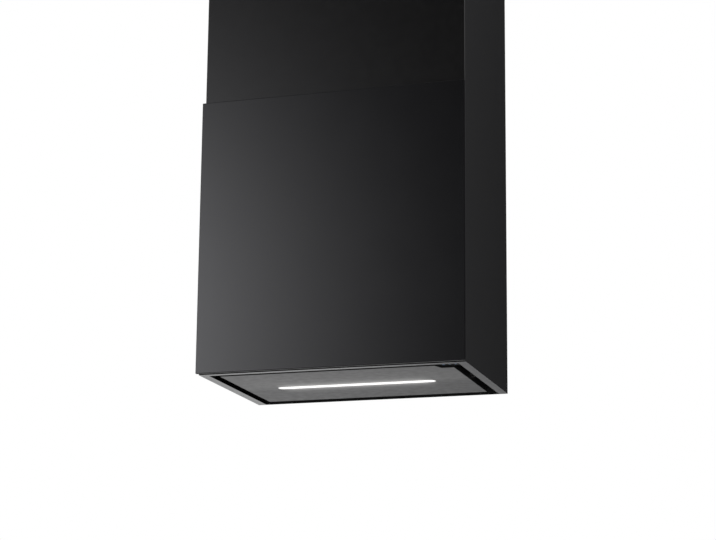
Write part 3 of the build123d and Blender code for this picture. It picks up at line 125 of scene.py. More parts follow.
class HoodColours(bpy.types.PropertyGroup):
    """Colours of the finishes."""

    paint: FloatVectorProperty(
        name="Paint", description="Satin black paint", subtype="COLOR", default=(0.0047, 0.0045, 0.0045)
    )
    glass: FloatVectorProperty(
        name="Glass", description="Black glass", subtype="COLOR", default=(0.0036, 0.0036, 0.0042)
    )
    dark_paint: FloatVectorProperty(
        name="Dark paint", description="Matt paint inside", subtype="COLOR", default=(0.010, 0.010, 0.010)
    )
    zinc: FloatVectorProperty(
        name="Zinc", description="Zinc-plated sheet", subtype="COLOR", default=(0.50, 0.51, 0.53)
    )
    steel: FloatVectorProperty(
        name="Steel", description="Bright steel", subtype="COLOR", default=(0.62, 0.61, 0.60)
    )
    aluminium: FloatVectorProperty(
        name="Aluminium", description="Raw aluminium", subtype="COLOR", default=(0.66, 0.67, 0.68)
    )
    black_plastic: FloatVectorProperty(
        name="Black plastic", description="Black mouldings", subtype="COLOR", default=(0.014, 0.014, 0.015)
    )
    grey_plastic: FloatVectorProperty(
        name="Grey plastic", description="Blower mouldings", subtype="COLOR", default=(0.16, 0.16, 0.17)
    )
    white_plastic: FloatVectorProperty(
        name="White plastic", description="Terminal block", subtype="COLOR", default=(0.72, 0.72, 0.69)
    )
    board: FloatVectorProperty(
        name="Board", description="Solder mask", subtype="COLOR", default=(0.02, 0.14, 0.06)
    )
    lamp: FloatVectorProperty(
        name="Lamp", description="Light of the lamp", subtype="COLOR", default=(1.0, 0.985, 0.96)
    )
    key_light: FloatVectorProperty(
        name="Key light", description="Light of the keys", subtype="COLOR", default=(0.35, 0.62, 1.0)
    )


class HoodStudio(bpy.types.PropertyGroup):
    """Camera, floor and light."""

    lens_px: FloatProperty(name="Lens", description="Focal length in photo pixels", default=1995.3)
    heading: FloatProperty(
        name="Heading", description="Turn of the camera to the left", default=0.3041, unit="ROTATION"
    )
    pitch: FloatProperty(name="Pitch", description="Upward tilt", default=0.2222, unit="ROTATION")
    roll: FloatProperty(name="Roll", description="Turn about the view", default=0.0095, unit="ROTATION")
    lens_rise: FloatProperty(name="Lens rise", description="Vertical lens shift", default=0.06)
    place: FloatVectorProperty(
        name="Camera place", description="Where the camera stands", subtype="TRANSLATION", unit="LENGTH",
        default=(1.0906, -3.6283, -0.6852),
    )
    floor_drop: FloatProperty(
        name="Floor drop", description="Depth of the floor below the hood", default=1.2, unit="LENGTH"
    )
    room_level: FloatProperty(name="Room level", description="Light from all round", default=0.014)
    window_level: FloatProperty(name="Window level", description="Peak of the bright window", default=5.9)
    window_focus: FloatProperty(name="Window focus", description="Narrowness of the window", default=112.0)
    window_heading: FloatProperty(
        name="Window heading", description="Window's angle left of front", default=0.505, unit="ROTATION"
    )
    window_pitch: FloatProperty(
        name="Window pitch", description="Window's height angle", default=0.199, unit="ROTATION"
    )
    side_headings: FloatVectorProperty(
        name="Side windows", description="Angles left of the front of the wide, weak windows", size=4,
        default=tuple(math.radians(angle) for angle in (75, 118, -118, -55)), unit="ROTATION",
    )
    side_pitch: FloatProperty(
        name="Side pitch", description="Height angle of weak windows", default=0.45, unit="ROTATION"
    )
    side_focus: FloatProperty(name="Side focus", description="Narrowness of weak windows", default=18.0)
    side_level: FloatProperty(name="Side level", description="Peak of the weak windows", default=0.9)
    # The next three settings shape the glow that is painted on the panel's paint round the lamp slot
    painted_lamp_spill: FloatProperty(
        name="Lamp spill", description="Brightness of the paint beside the lamp", default=0.3
    )
    painted_spill_reach: FloatProperty(
        name="Spill reach", description="Distance in which the spill fades", default=0.012, unit="LENGTH"
    )
    painted_front_spill: FloatProperty(
        name="Front spill", description="Weak spill in front of the lamp", default=0.045
    )
    wall_level: FloatProperty(name="Wall level", description="Dim light beside the wall", default=0.105)
    wall_edge: FloatProperty(
        name="Wall edge", description="Sideways slope where the wall's dim middle ends", default=0.25
    )
    sky_tint: FloatVectorProperty(
        name="Sky tint", description="Colour of the room", subtype="COLOR", default=(0.965, 0.965, 1.0)
    )
    overhead_level: FloatProperty(name="Overhead level", description="Light from above", default=0.9)
    floor_left: FloatProperty(name="Floor, left", description="Floor's light at the far left", default=0.92)
    floor_middle: FloatProperty(name="Floor, middle", description="Floor's light by the hood", default=0.8)
    lamp_power: FloatProperty(
        name="Lamp power", description="Power of each soft box", default=60.0, unit="POWER"
    )


# ---------------------------------------------------------------- finishes
def shade(colour, factor):
    """A colour made lighter or darker."""
    return tuple(part * factor for part in colour)


class NodeMaker:
    """Adds nodes to a tree and joins them."""

    def __init__(self, tree):
        self.tree = tree

    def node(self, kind, **values):
        """A new node with its attributes set."""
        made = self.tree.nodes.new(kind)
        for name, value in values.items():
            setattr(made, name, value)
        return made

    def link(self, source, target):
        self.tree.links.new(source, target)

    def maths(self, operation, *values):
        """One step of arithmetic on sockets or numbers."""
        made = self.node("ShaderNodeMath", operation=operation)
        for socket, value in zip(made.inputs, values):
            if isinstance(value, bpy.types.NodeSocket):
                self.link(value, socket)
            else:
                socket.default_value = value
        return made.outputs[0]

    def ranged(self, source, low, high, start=0.0, end=1.0):
        """The source spread between two values."""
        made = self.node("ShaderNodeMapRange")
        for name, value in (("From Min", start), ("From Max", end), ("To Min", low), ("To Max", high)):
            made.inputs[name].default_value = value
        self.link(source, made.inputs["Value"])
        return made.outputs["Result"]

    def axes(self, vector):
        """The three parts of a vector, as sockets X, Y and Z."""
        apart = self.node("ShaderNodeSeparateXYZ")
        self.link(vector, apart.inputs["Vector"])
        return apart.outputs

    def chosen(self, share, first, second, output):
        """Sends the first shader to the output, and the second one where the share is 1."""
        made = self.node("ShaderNodeMixShader")
        for index, source in enumerate((share, first, second)):
            self.link(source, made.inputs[index])
        self.link(made.outputs["Shader"], self.tree.nodes[output].inputs["Surface"])


class Finish(NodeMaker):
    """A procedural material put together round one Principled shader."""

    def __init__(self, name, colour, roughness, metallic=0.0):
        self.material = bpy.data.materials.new(name)
        self.material.use_nodes = True
        super().__init__(self.material.node_tree)
        self.shader = self.tree.nodes["Principled BSDF"]
        self.place = self.node("ShaderNodeTexCoord").outputs["Object"]
        self.relief = None
        self.colour = colour
        self.set("Base Color", (*colour, 1.0))
        self.set("Roughness", roughness)
        self.set("Metallic", metallic)

    def set(self, socket, value):
        self.shader.inputs[socket].default_value = value

    def stretched(self, stretch):
        """The place in the object, stretched along its axes."""
        mapping = self.node("ShaderNodeMapping")
        mapping.inputs["Scale"].default_value = stretch
        self.link(self.place, mapping.inputs["Vector"])
        return mapping.outputs["Vector"]

    def texture(self, kind, scale, place=None, **values):
        """A texture node, laid out by the place in the object."""
        made = self.node("ShaderNodeTex" + kind, **values)
        made.inputs["Scale"].default_value = scale
        self.link(place or self.place, made.inputs["Vector"])
        return made

    def noise(self, scale, detail=2.0, stretch=(1, 1, 1)):
        """Cloudy grain; the scale is in features per metre."""
        made = self.texture("Noise", scale, self.stretched(stretch))
        made.inputs["Detail"].default_value = detail
        return made.outputs["Fac"]

    def cells(self, scale, output="Distance"):
        """Cells such as zinc spangle; the scale is in cells per metre."""
        return self.texture("Voronoi", scale).outputs[output]

    def bands(self, scale, direction="X"):
        """Even bands across the object; the scale is WAVE_SCALE times the bands per metre."""
        return self.texture("Wave", scale, bands_direction=direction).outputs["Fac"]

    def mixed(self, source, first, second):
        """Two colours mixed by the source."""
        made = self.node("ShaderNodeMix", data_type="RGBA")
        self.link(source, made.inputs["Factor"])
        for socket, colour in (("A", first), ("B", second)):
            slot = next(i for i in made.inputs if i.name == socket and i.type == "RGBA")
            if isinstance(colour, bpy.types.NodeSocket):
                self.link(colour, slot)
            else:
                slot.default_value = (*colour, 1.0)
        return next(o for o in made.outputs if o.type == "RGBA")

    def coloured(self, source, first, second):
        """Base colour varied between two colours."""
        self.link(self.mixed(source, first, second), self.shader.inputs["Base Color"])

    def shaded(self, source, darker, lighter):
        """Base colour varied between two shades of the finish's own colour."""
        self.coloured(source, shade(self.colour, darker), shade(self.colour, lighter))

    def roughened(self, source, low, high, start=0.3, end=0.7):
        """Roughness varied between two values."""
        self.link(self.ranged(source, low, high, start, end), self.shader.inputs["Roughness"])

    def raised(self, source, height, strength=1.0):
        """Relief of the given height, on top of any relief before it."""
        bump = self.node("ShaderNodeBump")
        bump.inputs["Strength"].default_value = strength
        bump.inputs["Distance"].default_value = height
        self.link(source, bump.inputs["Height"])
        if self.relief:
            self.link(self.relief, bump.inputs["Normal"])
        self.relief = bump.outputs["Normal"]
        self.link(self.relief, self.shader.inputs["Normal"])

    def lit(self, colour, strength):
        """Light that the surface gives off; the strength is a socket."""
        self.set("Emission Color", (*colour, 1.0))
        self.link(strength, self.shader.inputs["Emission Strength"])


def satin_coat(name, colour, roughness):
    """Powder coat with fine orange peel and faint clouds in tone and gloss, open to additions."""
    paint = Finish(name, colour, roughness)
    paint.set("Specular IOR Level", 0.43)
    paint.shaded(paint.noise(5.0, 3.0), 0.92, 1.08)
    paint.roughened(paint.noise(70.0, 3.0), 0.9 * roughness, 1.1 * roughness)
    paint.raised(paint.noise(1100.0), height=0.00001, strength=0.35)
    return paint


def slot_shape():
    """Half the straight length and half the width of the panel's lamp slot, and where its middle lies."""
    low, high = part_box("lamp_diffuser")
    half_width = (high.y - low.y) / 2 - LAMP_FLANGE
    half_length = (high.x - low.x) / 2 - LAMP_FLANGE - half_width
    return half_length, half_width, (low.y + high.y) / 2


def past_slot(finish):
    """Distance past the edge of the lamp slot, as a socket; inside the slot it is negative."""
    half_length, half_width, middle = slot_shape()
    place = finish.axes(finish.place)
    along = finish.maths("ABSOLUTE", place["X"])
    beyond = finish.maths("MAXIMUM", finish.maths("SUBTRACT", along, half_length), 0.0)
    across = finish.maths("SUBTRACT", place["Y"], middle)
    beyond_squared = finish.maths("POWER", beyond, 2.0)
    across_squared = finish.maths("MULTIPLY", across, across)
    from_middle = finish.maths("SQRT", finish.maths("ADD", beyond_squared, across_squared))
    return finish.maths("SUBTRACT", from_middle, half_width)


def paint_with_painted_glow(colour, studio):
    """The panel's paint, with a painted glow round the slot that stands for the lamp's spilling light."""
    paint = satin_coat("panel_paint_with_painted_glow", colour, 0.4)
    half_length, half_width, middle = slot_shape()
    place = paint.axes(paint.place)
    gap = paint.maths("MAXIMUM", past_slot(paint), 0.0)

    def glow(reach):
        """Painted glow that is full at the slot's edge and dies away within a few times the reach."""
        return paint.maths("EXPONENT", paint.maths("DIVIDE", gap, -reach))

    # Close to the slot the painted glow is strong, and weaker towards the slot's ends
    along = paint.maths("ABSOLUTE", place["X"])
    fade_start = 0.9 * half_length
    strong = paint.ranged(along, studio.painted_lamp_spill, 0.0, fade_start, half_length + half_width)
    close = glow(studio.painted_spill_reach)
    # A wide, weak painted glow lies over the part of the panel in front of the lamp
    front, rear = middle - 2 * half_width, middle + 2 * half_width
    weak = paint.ranged(place["Y"], studio.painted_front_spill, 0.0, front, rear)
    wide = glow(10 * studio.painted_spill_reach)
    painted_spill = paint.maths("MULTIPLY_ADD", close, strong, paint.maths("MULTIPLY", wide, weak))
    # Only the panel's underside, at z = 0, gets the painted glow
    skin = 0.0003
    underside = paint.maths("LESS_THAN", place["Z"], skin)
    warm_white = (1.0, 0.99, 0.97)
    paint.lit(warm_white, paint.maths("MULTIPLY", painted_spill, underside))
    return paint.material


def black_glass(colour):
    """Back-painted glass: almost flat, with a trace of handling in the gloss."""
    glass = Finish("black_glass", colour, 0.12)
    glass.shaded(glass.noise(3.0), 0.95, 1.05)
    glass.roughened(glass.noise(14.0, 4.0), 0.11, 0.13)
    glass.set("IOR", 1.5)
    glass.raised(glass.noise(9.0, 1.0), height=0.00001, strength=0.2)
    return glass.material


def ground_edge(name, colour, roughness, gloss):
    """Ground edge of the glass, from dead matt to half polished."""
    edge = Finish(name, colour, roughness)
    edge.set("Specular IOR Level", gloss)
    edge.shaded(edge.noise(900.0, 3.0), 0.7, 1.4)
    edge.roughened(edge.noise(600.0), 0.9 * roughness, 1.1 * roughness)
    edge.raised(edge.noise(2200.0, 3.0), height=0.00003, strength=0.6)
    return edge.material


def matt_paint(colour):
    """Thin matt paint on the parts that sit inside."""
    paint = Finish("matt_black_paint", colour, 0.6)
    paint.set("Specular IOR Level", 0.2)
    paint.shaded(paint.noise(12.0, 4.0), 0.8, 1.3)
    paint.roughened(paint.noise(120.0, 3.0), 0.52, 0.68)
    paint.raised(paint.noise(1500.0, 3.0), height=0.00003, strength=0.6)
    return paint.material


def zinc_sheet(colour):
    """Zinc-plated sheet with spangle and rolling streaks."""
    zinc = Finish("zinc_sheet", colour, 0.42, metallic=1.0)
    spangle = zinc.node("ShaderNodeSeparateColor")
    zinc.link(zinc.cells(90.0, "Color"), spangle.inputs["Color"])
    zinc.shaded(spangle.outputs["Red"], 0.88, 1.05)
    zinc.roughened(spangle.outputs["Green"], 0.35, 0.48, start=0.0, end=1.0)
    zinc.raised(zinc.noise(400.0, 3.0, (1, 1, 0.08)), height=0.00002, strength=0.4)
    return zinc.material


def drawn_steel(colour):
    """Bright steel with fine drawing lines."""
    steel = Finish("bright_steel", colour, 0.24, metallic=1.0)
    steel.shaded(steel.noise(60.0, 3.0), 0.85, 1.05)
    steel.roughened(steel.noise(1800.0, 2.0, (0.06, 1, 1)), 0.18, 0.32)
    steel.raised(steel.noise(2400.0, 2.0, (0.05, 1, 1)), height=0.00001, strength=0.4)
    return steel.material


def raw_aluminium(name, colour):
    """Soft grey aluminium with fine scratches."""
    metal = Finish(name, colour, 0.36, metallic=1.0)
    metal.shaded(metal.noise(40.0, 4.0), 0.86, 1.04)
    metal.roughened(metal.noise(900.0, 3.0, (0.1, 1, 1)), 0.28, 0.46)
    metal.raised(metal.noise(1300.0, 2.0, (0.1, 1, 1)), height=0.00001, strength=0.5)
    return metal.material


def moulded(name, colour, roughness, gloss=0.5):
    """Moulded plastic with a fine spark-eroded grain."""
    plastic = Finish(name, colour, roughness)
    plastic.set("Specular IOR Level", gloss)
    plastic.shaded(plastic.noise(25.0), 0.92, 1.08)
    plastic.roughened(plastic.noise(300.0), roughness - 0.05, roughness + 0.05)
    plastic.raised(plastic.cells(2200.0), height=0.00002, strength=0.5)
    return plastic.material


def soft_rubber(colour):
    """Rubber and lead sheaths."""
    rubber = Finish("black_rubber", colour, 0.62)
    rubber.shaded(rubber.noise(80.0, 3.0), 0.85, 1.25)
    rubber.roughened(rubber.noise(500.0), 0.55, 0.72)
    rubber.raised(rubber.noise(2600.0), height=0.00002, strength=0.5)
    return rubber.material


def opal(colour):
    """Lit opal diffuser: a little brighter over each diode, dimmer towards the slot's edge."""
    lens = Finish("opal_diffuser", (0.9, 0.9, 0.88), 0.35)
    low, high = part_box("lamp_board")
    diodes_per_metre = LAMP_DIODES / (high.x - low.x)
    glow = lens.ranged(lens.bands(diodes_per_metre * WAVE_SCALE), 0.95, 1.05)
    edge_zone = 0.6 * slot_shape()[1]
    fading = lens.ranged(past_slot(lens), 1.1, 0.5, -edge_zone, 0.0)
    lens.lit(colour, lens.maths("MULTIPLY", glow, fading))
    lens.raised(lens.noise(1500.0), height=0.00002, strength=0.3)
    return lens.material


def solder_mask(colour):
    """Circuit board: green mask over tracks, with tinned pads."""
    board = Finish("circuit_board", colour, 0.4)
    tracks = board.ranged(board.bands(160.0, "Y"), 0.0, 1.0, 0.72, 0.8)
    tracked = board.mixed(tracks, colour, shade(colour, 1.7))
    pads = board.ranged(board.cells(260.0), 1.0, 0.0, 0.12, 0.16)
    tin = (0.6, 0.58, 0.5)
    board.coloured(pads, tracked, tin)
    board.raised(tracks, height=0.00004, strength=0.5)
    return board.material


def lit_mark(colour):
    """Small bluish light of a key."""
    mark = Finish("key_mark_light", shade(colour, 0.2), 0.4)
    mark.lit(colour, mark.ranged(mark.noise(900.0, 1.0), 0.22, 0.46, 0.3, 0.7))
    return mark.material


# The finishes made so far, and the record's material slot of each CAD node
FINISHES = {}
SLOT_OF = {entry["node"]: entry["material_slot"] for entry in frame["record"]["subparts"]}


def finish_for(slot):
    """The material of one of the record's slots, made the first time that it is asked for."""
    colours = bpy.context.scene.hood_colours
    makers = {
        "satin_black_steel": lambda: satin_coat("satin_black_paint", colours.paint, 0.15).material,
        "black_glass": lambda: black_glass(colours.glass),
        "dark_painted_steel": lambda: matt_paint(colours.dark_paint),
        "zinc_plated_steel": lambda: zinc_sheet(colours.zinc),
        "bright_steel": lambda: drawn_steel(colours.steel),
        "aluminium_filter": lambda: raw_aluminium("filter_aluminium", colours.aluminium),
        "aluminium_case": lambda: raw_aluminium("case_aluminium", shade(colours.aluminium, 0.9)),
        "black_plastic": lambda: moulded("black_plastic", colours.black_plastic, 0.5),
        "key_plastic": lambda: moulded("key_plastic", shade(colours.black_plastic, 0.3), 0.4, gloss=0.12),
        "grey_plastic": lambda: moulded("grey_plastic", colours.grey_plastic, 0.46),
        "black_rubber": lambda: soft_rubber(colours.black_plastic),
        "opal_diffuser": lambda: opal(colours.lamp),
        "circuit_board": lambda: solder_mask(colours.board),
        "white_plastic": lambda: moulded("white_plastic", colours.white_plastic, 0.42),
    }
    if slot not in FINISHES:
        FINISHES[slot] = makers[slot]()
    return FINISHES[slot]


def dress(*nodes, finish=None):
    """Gives CAD nodes the finish of their slot, or one made for them."""
    for name in nodes:
        mesh = frame["nodes"][name].data
        mesh.materials.clear()
        mesh.materials.append(finish or finish_for(SLOT_OF[name]))


# ---------------------------------------------------------------- making meshes
def in_scene(name, data):
    """A new object, linked to the scene."""
    made = bpy.data.objects.new(name, data)
    bpy.context.scene.collection.objects.link(made)
    return made


def add_piece(name, mesh_maker, body, slot, material=None):
    """A mesh piece filled by mesh_maker, finished and riding on a body."""
    shape = bmesh.new()
    mesh_maker(shape)
    bmesh.ops.recalc_face_normals(shape, faces=shape.faces)
    mesh = bpy.data.meshes.new(name)
    shape.to_mesh(mesh)
    shape.free()
    mesh.set_sharp_from_angle(angle=SMOOTH_ANGLE)
    for face in mesh.polygons:
        face.use_smooth = True
    piece = in_scene(name, mesh)
    mesh.materials.append(material or finish_for(slot))
    # The broad faces keep their own direction, so that flat stays flat beside a rounded edge
    broad = piece.modifiers.new("broad_faces", "WEIGHTED_NORMAL")
    broad.weight = 100
    broad.keep_sharp = True
    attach(piece, body)
    return piece


def block(shape, low, high):
    """A closed block between two corners."""
    middle = (Vector(low) + Vector(high)) / 2
    size = Vector(high) - Vector(low)
    placed = Matrix.Translation(middle) @ Matrix.Diagonal((*size, 1.0))
    bmesh.ops.create_cube(shape, size=1.0, matrix=placed)


def facing(place, direction):
    """Turns local Z to the direction and puts the origin at the place."""
    turn = Vector(direction).to_track_quat("Z", "Y").to_matrix().to_4x4()
    return Matrix.Translation(Vector(place)) @ turn


def around(steps):
    """The angles of even steps round a circle."""
    return [2 * math.pi * step / steps for step in range(steps)]


def bridge(shape, rings):
    """Faces between each ring of vertices and the next; a ring may be a single vertex."""
    for first, second in zip(rings, rings[1:]):
        count = max(len(first), len(second))
        for step in range(count):
            following = (step + 1) % count
            corners = [first[step % len(first)], first[following % len(first)]]
            corners += [second[following % len(second)], second[step % len(second)]]
            shape.faces.new(list(dict.fromkeys(corners)))


def cap(shape, rings):
    """A face over each end of a row of rings."""
    shape.faces.new(rings[0])
    shape.faces.new(reversed(rings[-1]))


def pan_head(shape, place, direction, radius, rise):
    """A pan-head screw seen from outside, with a cross recess."""
    placed = facing(place, direction)
    steps, segments = 10, 40
    slot_half, slot_reach, slot_depth = radius * 0.16, radius * 0.62, rise * 0.6
    # Shares of the rise by which the dome falls to its rim and the side goes on down, and the share
    # of the recess's depth that is lost towards its ends
    dome_fall, side_fall, slot_slope = 0.45, 0.55, 0.5
    rings = []
    for step in range(steps + 1):
        reach = radius * step / steps
        ring = []
        for angle in around(segments if step else 1):
            x, y = reach * math.cos(angle), reach * math.sin(angle)
            height = rise * (1 - dome_fall * (reach / radius) ** 4)
            if reach < slot_reach and min(abs(x), abs(y)) < slot_half:
                height -= slot_depth * (1 - reach / slot_reach * slot_slope)
            ring.append(shape.verts.new(placed @ Vector((x, y, height))))
        rings.append(ring)
    down = placed.to_3x3() @ Vector((0, 0, rise * side_fall))
    rings.append([shape.verts.new(vert.co - down) for vert in rings[-1]])
    bridge(shape, rings)
    shape.faces.new(rings[-1])


def rivet(shape, place, direction, radius):
    """A domed rivet head on a face."""
    placed = facing(place, direction)
    sunk, rim, dome = -0.0001, 0.0002, radius * 0.45
    steps, segments = 4, 20
    profile = [(0, sunk), (radius, sunk), (radius, rim)]
    for step in range(1, steps):
        angle = math.pi / 2 * step / steps
        profile.append((radius * math.cos(angle), rim + dome * math.sin(angle)))
    profile.append((0, rim + dome))
    rings = []
    for reach, height in profile:
        turns = around(segments if reach else 1)
        points = [Vector((reach * math.cos(turn), reach * math.sin(turn), height)) for turn in turns]
        rings.append([shape.verts.new(placed @ point) for point in points])
    bridge(shape, rings)


def rounded(shape, edges, width, segments):
    """Rounds some edges."""
    bmesh.ops.bevel(
        shape, geom=edges, offset=width, segments=segments, affect="EDGES", profile=0.5, clamp_overlap=True
    )


# ---------------------------------------------------------------- the pieces
class HOOD_OT_casing(bpy.types.Operator):
    """Finish the outer casing, the rim and the sliding chimney"""

    bl_idname = "hood.casing"
    bl_label = "Casing and chimney"

    def execute(self, context):
        dress("outer_casing", "rim_frame", "intake_plate")
        dress("chimney_sleeve", "chimney_bracket", "sleeve_glides")
        return {"FINISHED"}


class HOOD_OT_glass(bpy.types.Operator):
    """Make the front glass with its ground edges and finish the pan behind it"""

    bl_idname = "hood.glass"
    bl_label = "Front glass"

    def execute(self, context):
        sizes = context.scene.hood_sizes
        low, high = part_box("front_glass")

        def in_front(vert):
            return abs(vert.co.y - low.y) < NEAR

        def slab(shape):
            """A sheet with rounded corners, whose front edges are ground off."""
            block(shape, low, high)
            corners = [edge for edge in shape.edges if in_front(edge.verts[0]) != in_front(edge.verts[1])]
            rounded(shape, corners, sizes.glass_corner, 5)
            front = [edge for edge in shape.edges if all(in_front(vert) for vert in edge.verts)]
            rounded(shape, front, sizes.glass_arris, 4)

        glass = add_piece("glass_slab", slab, "hood", "black_glass")
        black = context.scene.hood_colours.glass
        glass.data.materials.append(ground_edge("seamed_glass_edge", black, 0.75, 0.1))
        glass.data.materials.append(ground_edge("lower_glass_edge", black, 0.4, 0.2))
        polished, seamed, lower = range(3)
        flat_on, downward = -0.99, -0.3
        for face in glass.data.polygons:
            if face.normal.y < flat_on:
                face.material_index = polished
            else:
                face.material_index = lower if face.normal.z < downward else seamed
        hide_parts("front_glass")
        dress("glass_carrier", "glass_hooks")
        return {"FINISHED"}


class HOOD_OT_panel(bpy.types.Operator):
    """Finish the suction panel, its hinge, magnets and clips"""

    bl_idname = "hood.panel"
    bl_label = "Suction panel"

    def execute(self, context):
        dress("panel_hinge_arms", "side_clips", "hinge_brackets", "hinge_pins", "panel_magnets")
        # The panel's paint carries a painted glow round the lamp slot, standing for the lamp's spill
        lit = paint_with_painted_glow(context.scene.hood_colours.paint, context.scene.hood_studio)
        dress("suction_panel", finish=lit)
        return {"FINISHED"}


class HOOD_OT_lamp(bpy.types.Operator):
    """Finish the lamp in the panel"""

    bl_idname = "hood.lamp"
    bl_label = "Lamp"

    def execute(self, context):
        dress("lamp_housing", "lamp_diffuser", "lamp_board")
        return {"FINISHED"}


class HOOD_OT_keys(bpy.types.Operator):
    """Finish the keys and make their lit marks"""

    bl_idname = "hood.keys"
    bl_label = "Keys"

    def execute(self, context):
        sizes = context.scene.hood_sizes
        colours = context.scene.hood_colours
        dress("key_board", "key_power", "key_speed", "key_light")
        # The pod's black plastic is darkened well past the other mouldings as painted shade for its recess
        painted_shade_black = shade(colours.black_plastic, 0.15)
        dress("key_pod", finish=moulded("key_pod_plastic_painted_shade", painted_shade_black, 0.7, gloss=0.08))
        light = lit_mark(colours.key_light)
        radius, line = sizes.mark_radius, sizes.mark_line
        thickness = 0.00015

        def centre(node):
            """The middle of a key's lower face."""
            low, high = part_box(node)
            return Vector(((low.x + high.x) / 2, (low.y + high.y) / 2, low.z))

        def arc(shape, middle, outer, gap=0.0):
            """A ring, or one broken by a gap on its front side."""
            steps = 32
            weld = 0.00001
            outline = ((outer - line, 0), (outer, 0), (outer, thickness), (outer - line, thickness))
            sections = []
            for step in range(steps + 1):
                angle = -math.pi / 2 + gap / 2 + (2 * math.pi - gap) * step / steps
                ray = Vector((math.cos(angle), math.sin(angle), 0))
                points = [middle + ray * reach - Vector((0, 0, depth)) for reach, depth in outline]
                sections.append([shape.verts.new(point) for point in points])
            if gap:
                cap(shape, sections)
            bridge(shape, sections)
            bmesh.ops.remove_doubles(shape, verts=shape.verts, dist=weld)

        def bar(shape, middle, half_x, half_y):
            """A bar on the key's lower face."""
            low = (middle.x - half_x, middle.y - half_y, middle.z - thickness)
            block(shape, low, (middle.x + half_x, middle.y + half_y, middle.z))

        def power_mark(shape):
            """A broken ring with a bar in its gap."""
            middle = centre("key_power")
            gap = math.radians(70)
            bar_place, bar_half = radius * 0.7, radius * 0.55
            arc(shape, middle, radius, gap)
            bar(shape, middle - Vector((0, bar_place, 0)), line / 2, bar_half)

        def speed_mark(shape):
            """Three bars on one foot line, each taller than the one before."""
            foot = centre("key_speed") + Vector((0, radius * 0.85, 0))
            pitch, half_middle, half_growth = line * 2.4, 0.55, 0.3
            for step in (-1, 0, 1):
                half_height = radius * (half_middle + half_growth * step)
                bar(shape, foot + Vector((step * pitch, -half_height, 0)), line / 2, half_height)

        def lamp_mark(shape):
            """A small ring with eight dots round it."""
            middle = centre("key_light")
            dot_reach, dot_half = radius * 0.85, line * 0.35
            arc(shape, middle, radius * 0.5)
            for angle in around(8):
                reach = Matrix.Rotation(angle, 4, "Z") @ Vector((dot_reach, 0, 0))
                bar(shape, middle + reach, dot_half, dot_half)

        for node, maker in (("key_power", power_mark), ("key_speed", speed_mark), ("key_light", lamp_mark)):
            add_piece(node + "_mark", maker, node, "key_plastic", light)
        return {"FINISHED"}


class HOOD_OT_filter(bpy.types.Operator):
    """Make the expanded mesh of the grease filter and finish its frame"""

    bl_idname = "hood.filter"
    bl_label = "Grease filter"

    def execute(self, context):
        sizes = context.scene.hood_sizes
        dress("filter_seat", "filter_rest", "filter_frame")
        low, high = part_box("filter_mesh")
        width = high.x - low.x
        columns = round(width / sizes.cell_length)
        rows = round((high.y - low.y) / sizes.cell_width)
        pitch_x = width / columns
        pitch_y = (high.y - low.y) / rows
        sheet = 0.0004
        lean = 0.15

        def strand(shape, start, end, z):
            """A flat strand, tilted as expanded metal is."""
            along = (end - start).normalized()
            side = Vector((-along.y, along.x, 0)) * sizes.strand / 2
            side.z = math.copysign(sizes.strand * lean, side.y)
            rings = []
            for place in (start, end):
                ring = []
                for across, lift in ((-1, 0), (-1, 1), (1, 1), (1, 0)):
                    point = Vector((place.x, place.y, z)) + side * across
                    ring.append(shape.verts.new(point + Vector((0, 0, sheet * lift))))
                rings.append(ring)
            cap(shape, rings)
            bridge(shape, rings)

        def expanded(shape):
            """Two layers of diamond cells, the upper one half a cell along."""
            for layer, z in enumerate((low.z + sizes.strand, high.z - sizes.strand - sheet)):
                shift = layer * pitch_x / 2
                for row in range(rows):
                    y = low.y + row * pitch_y
                    offset = (row % 2) * pitch_x / 2 + shift
                    for column in range(columns):
                        x = low.x + (column * pitch_x + offset) % (width - pitch_x / 2)
                        start = Vector((x, y, 0))
                        for step in (-1, 1):
                            far = x + step * pitch_x / 2
                            if low.x <= far <= high.x:
                                strand(shape, start, Vector((far, y + pitch_y, 0)), z)

        mesh = add_piece("filter_weave", expanded, "hood", "aluminium_filter")
        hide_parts("filter_mesh")
        return {"FINISHED"}


class HOOD_OT_latch(bpy.types.Operator):
    """Wind the spring of the filter's latch, rivet the handle on and finish both"""

    bl_idname = "hood.latch"
    bl_label = "Filter latch and handle"

    def execute(self, context):
        sizes = context.scene.hood_sizes
        dress("filter_latch", "filter_handle")
        coil_low, coil_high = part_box("latch_spring")
        wire = sizes.spring_wire / 2
        middle = (coil_low + coil_high) / 2
        reach = (coil_high.x - coil_low.x) / 2 - wire
        run = coil_high.y - coil_low.y - 2 * wire

        def coil(shape):
            """Wire wound about the Y axis, with both ends closed."""
            steps, sides = 24 * sizes.spring_turns, 8
            rings = []
            for step in range(steps + 1):
                turn = 2 * math.pi * sizes.spring_turns * step / steps
                outward = Vector((math.cos(turn), 0, math.sin(turn)))
                core = Vector((middle.x, coil_low.y + wire + run * step / steps, middle.z))
                core += reach * outward
                ring = []
                for angle in around(sides):
                    point = outward * math.cos(angle) + Vector((0, math.sin(angle), 0))
                    ring.append(shape.verts.new(core + wire * point))
                rings.append(ring)
            bridge(shape, rings)
            cap(shape, rings)

        spring = add_piece("latch_coil", coil, "hood", "bright_steel")
        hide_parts("latch_spring")
        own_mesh(spring)

        handle_low, handle_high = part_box("filter_handle")
        inset = 0.006

        def rivets(shape):
            for x in (handle_low.x + inset, handle_high.x - inset):
                rivet(shape, (x, handle_high.y - inset, handle_low.z), DOWN, sizes.rivet_head)

        add_piece("handle_rivets", rivets, "hood", "bright_steel")
        return {"FINISHED"}


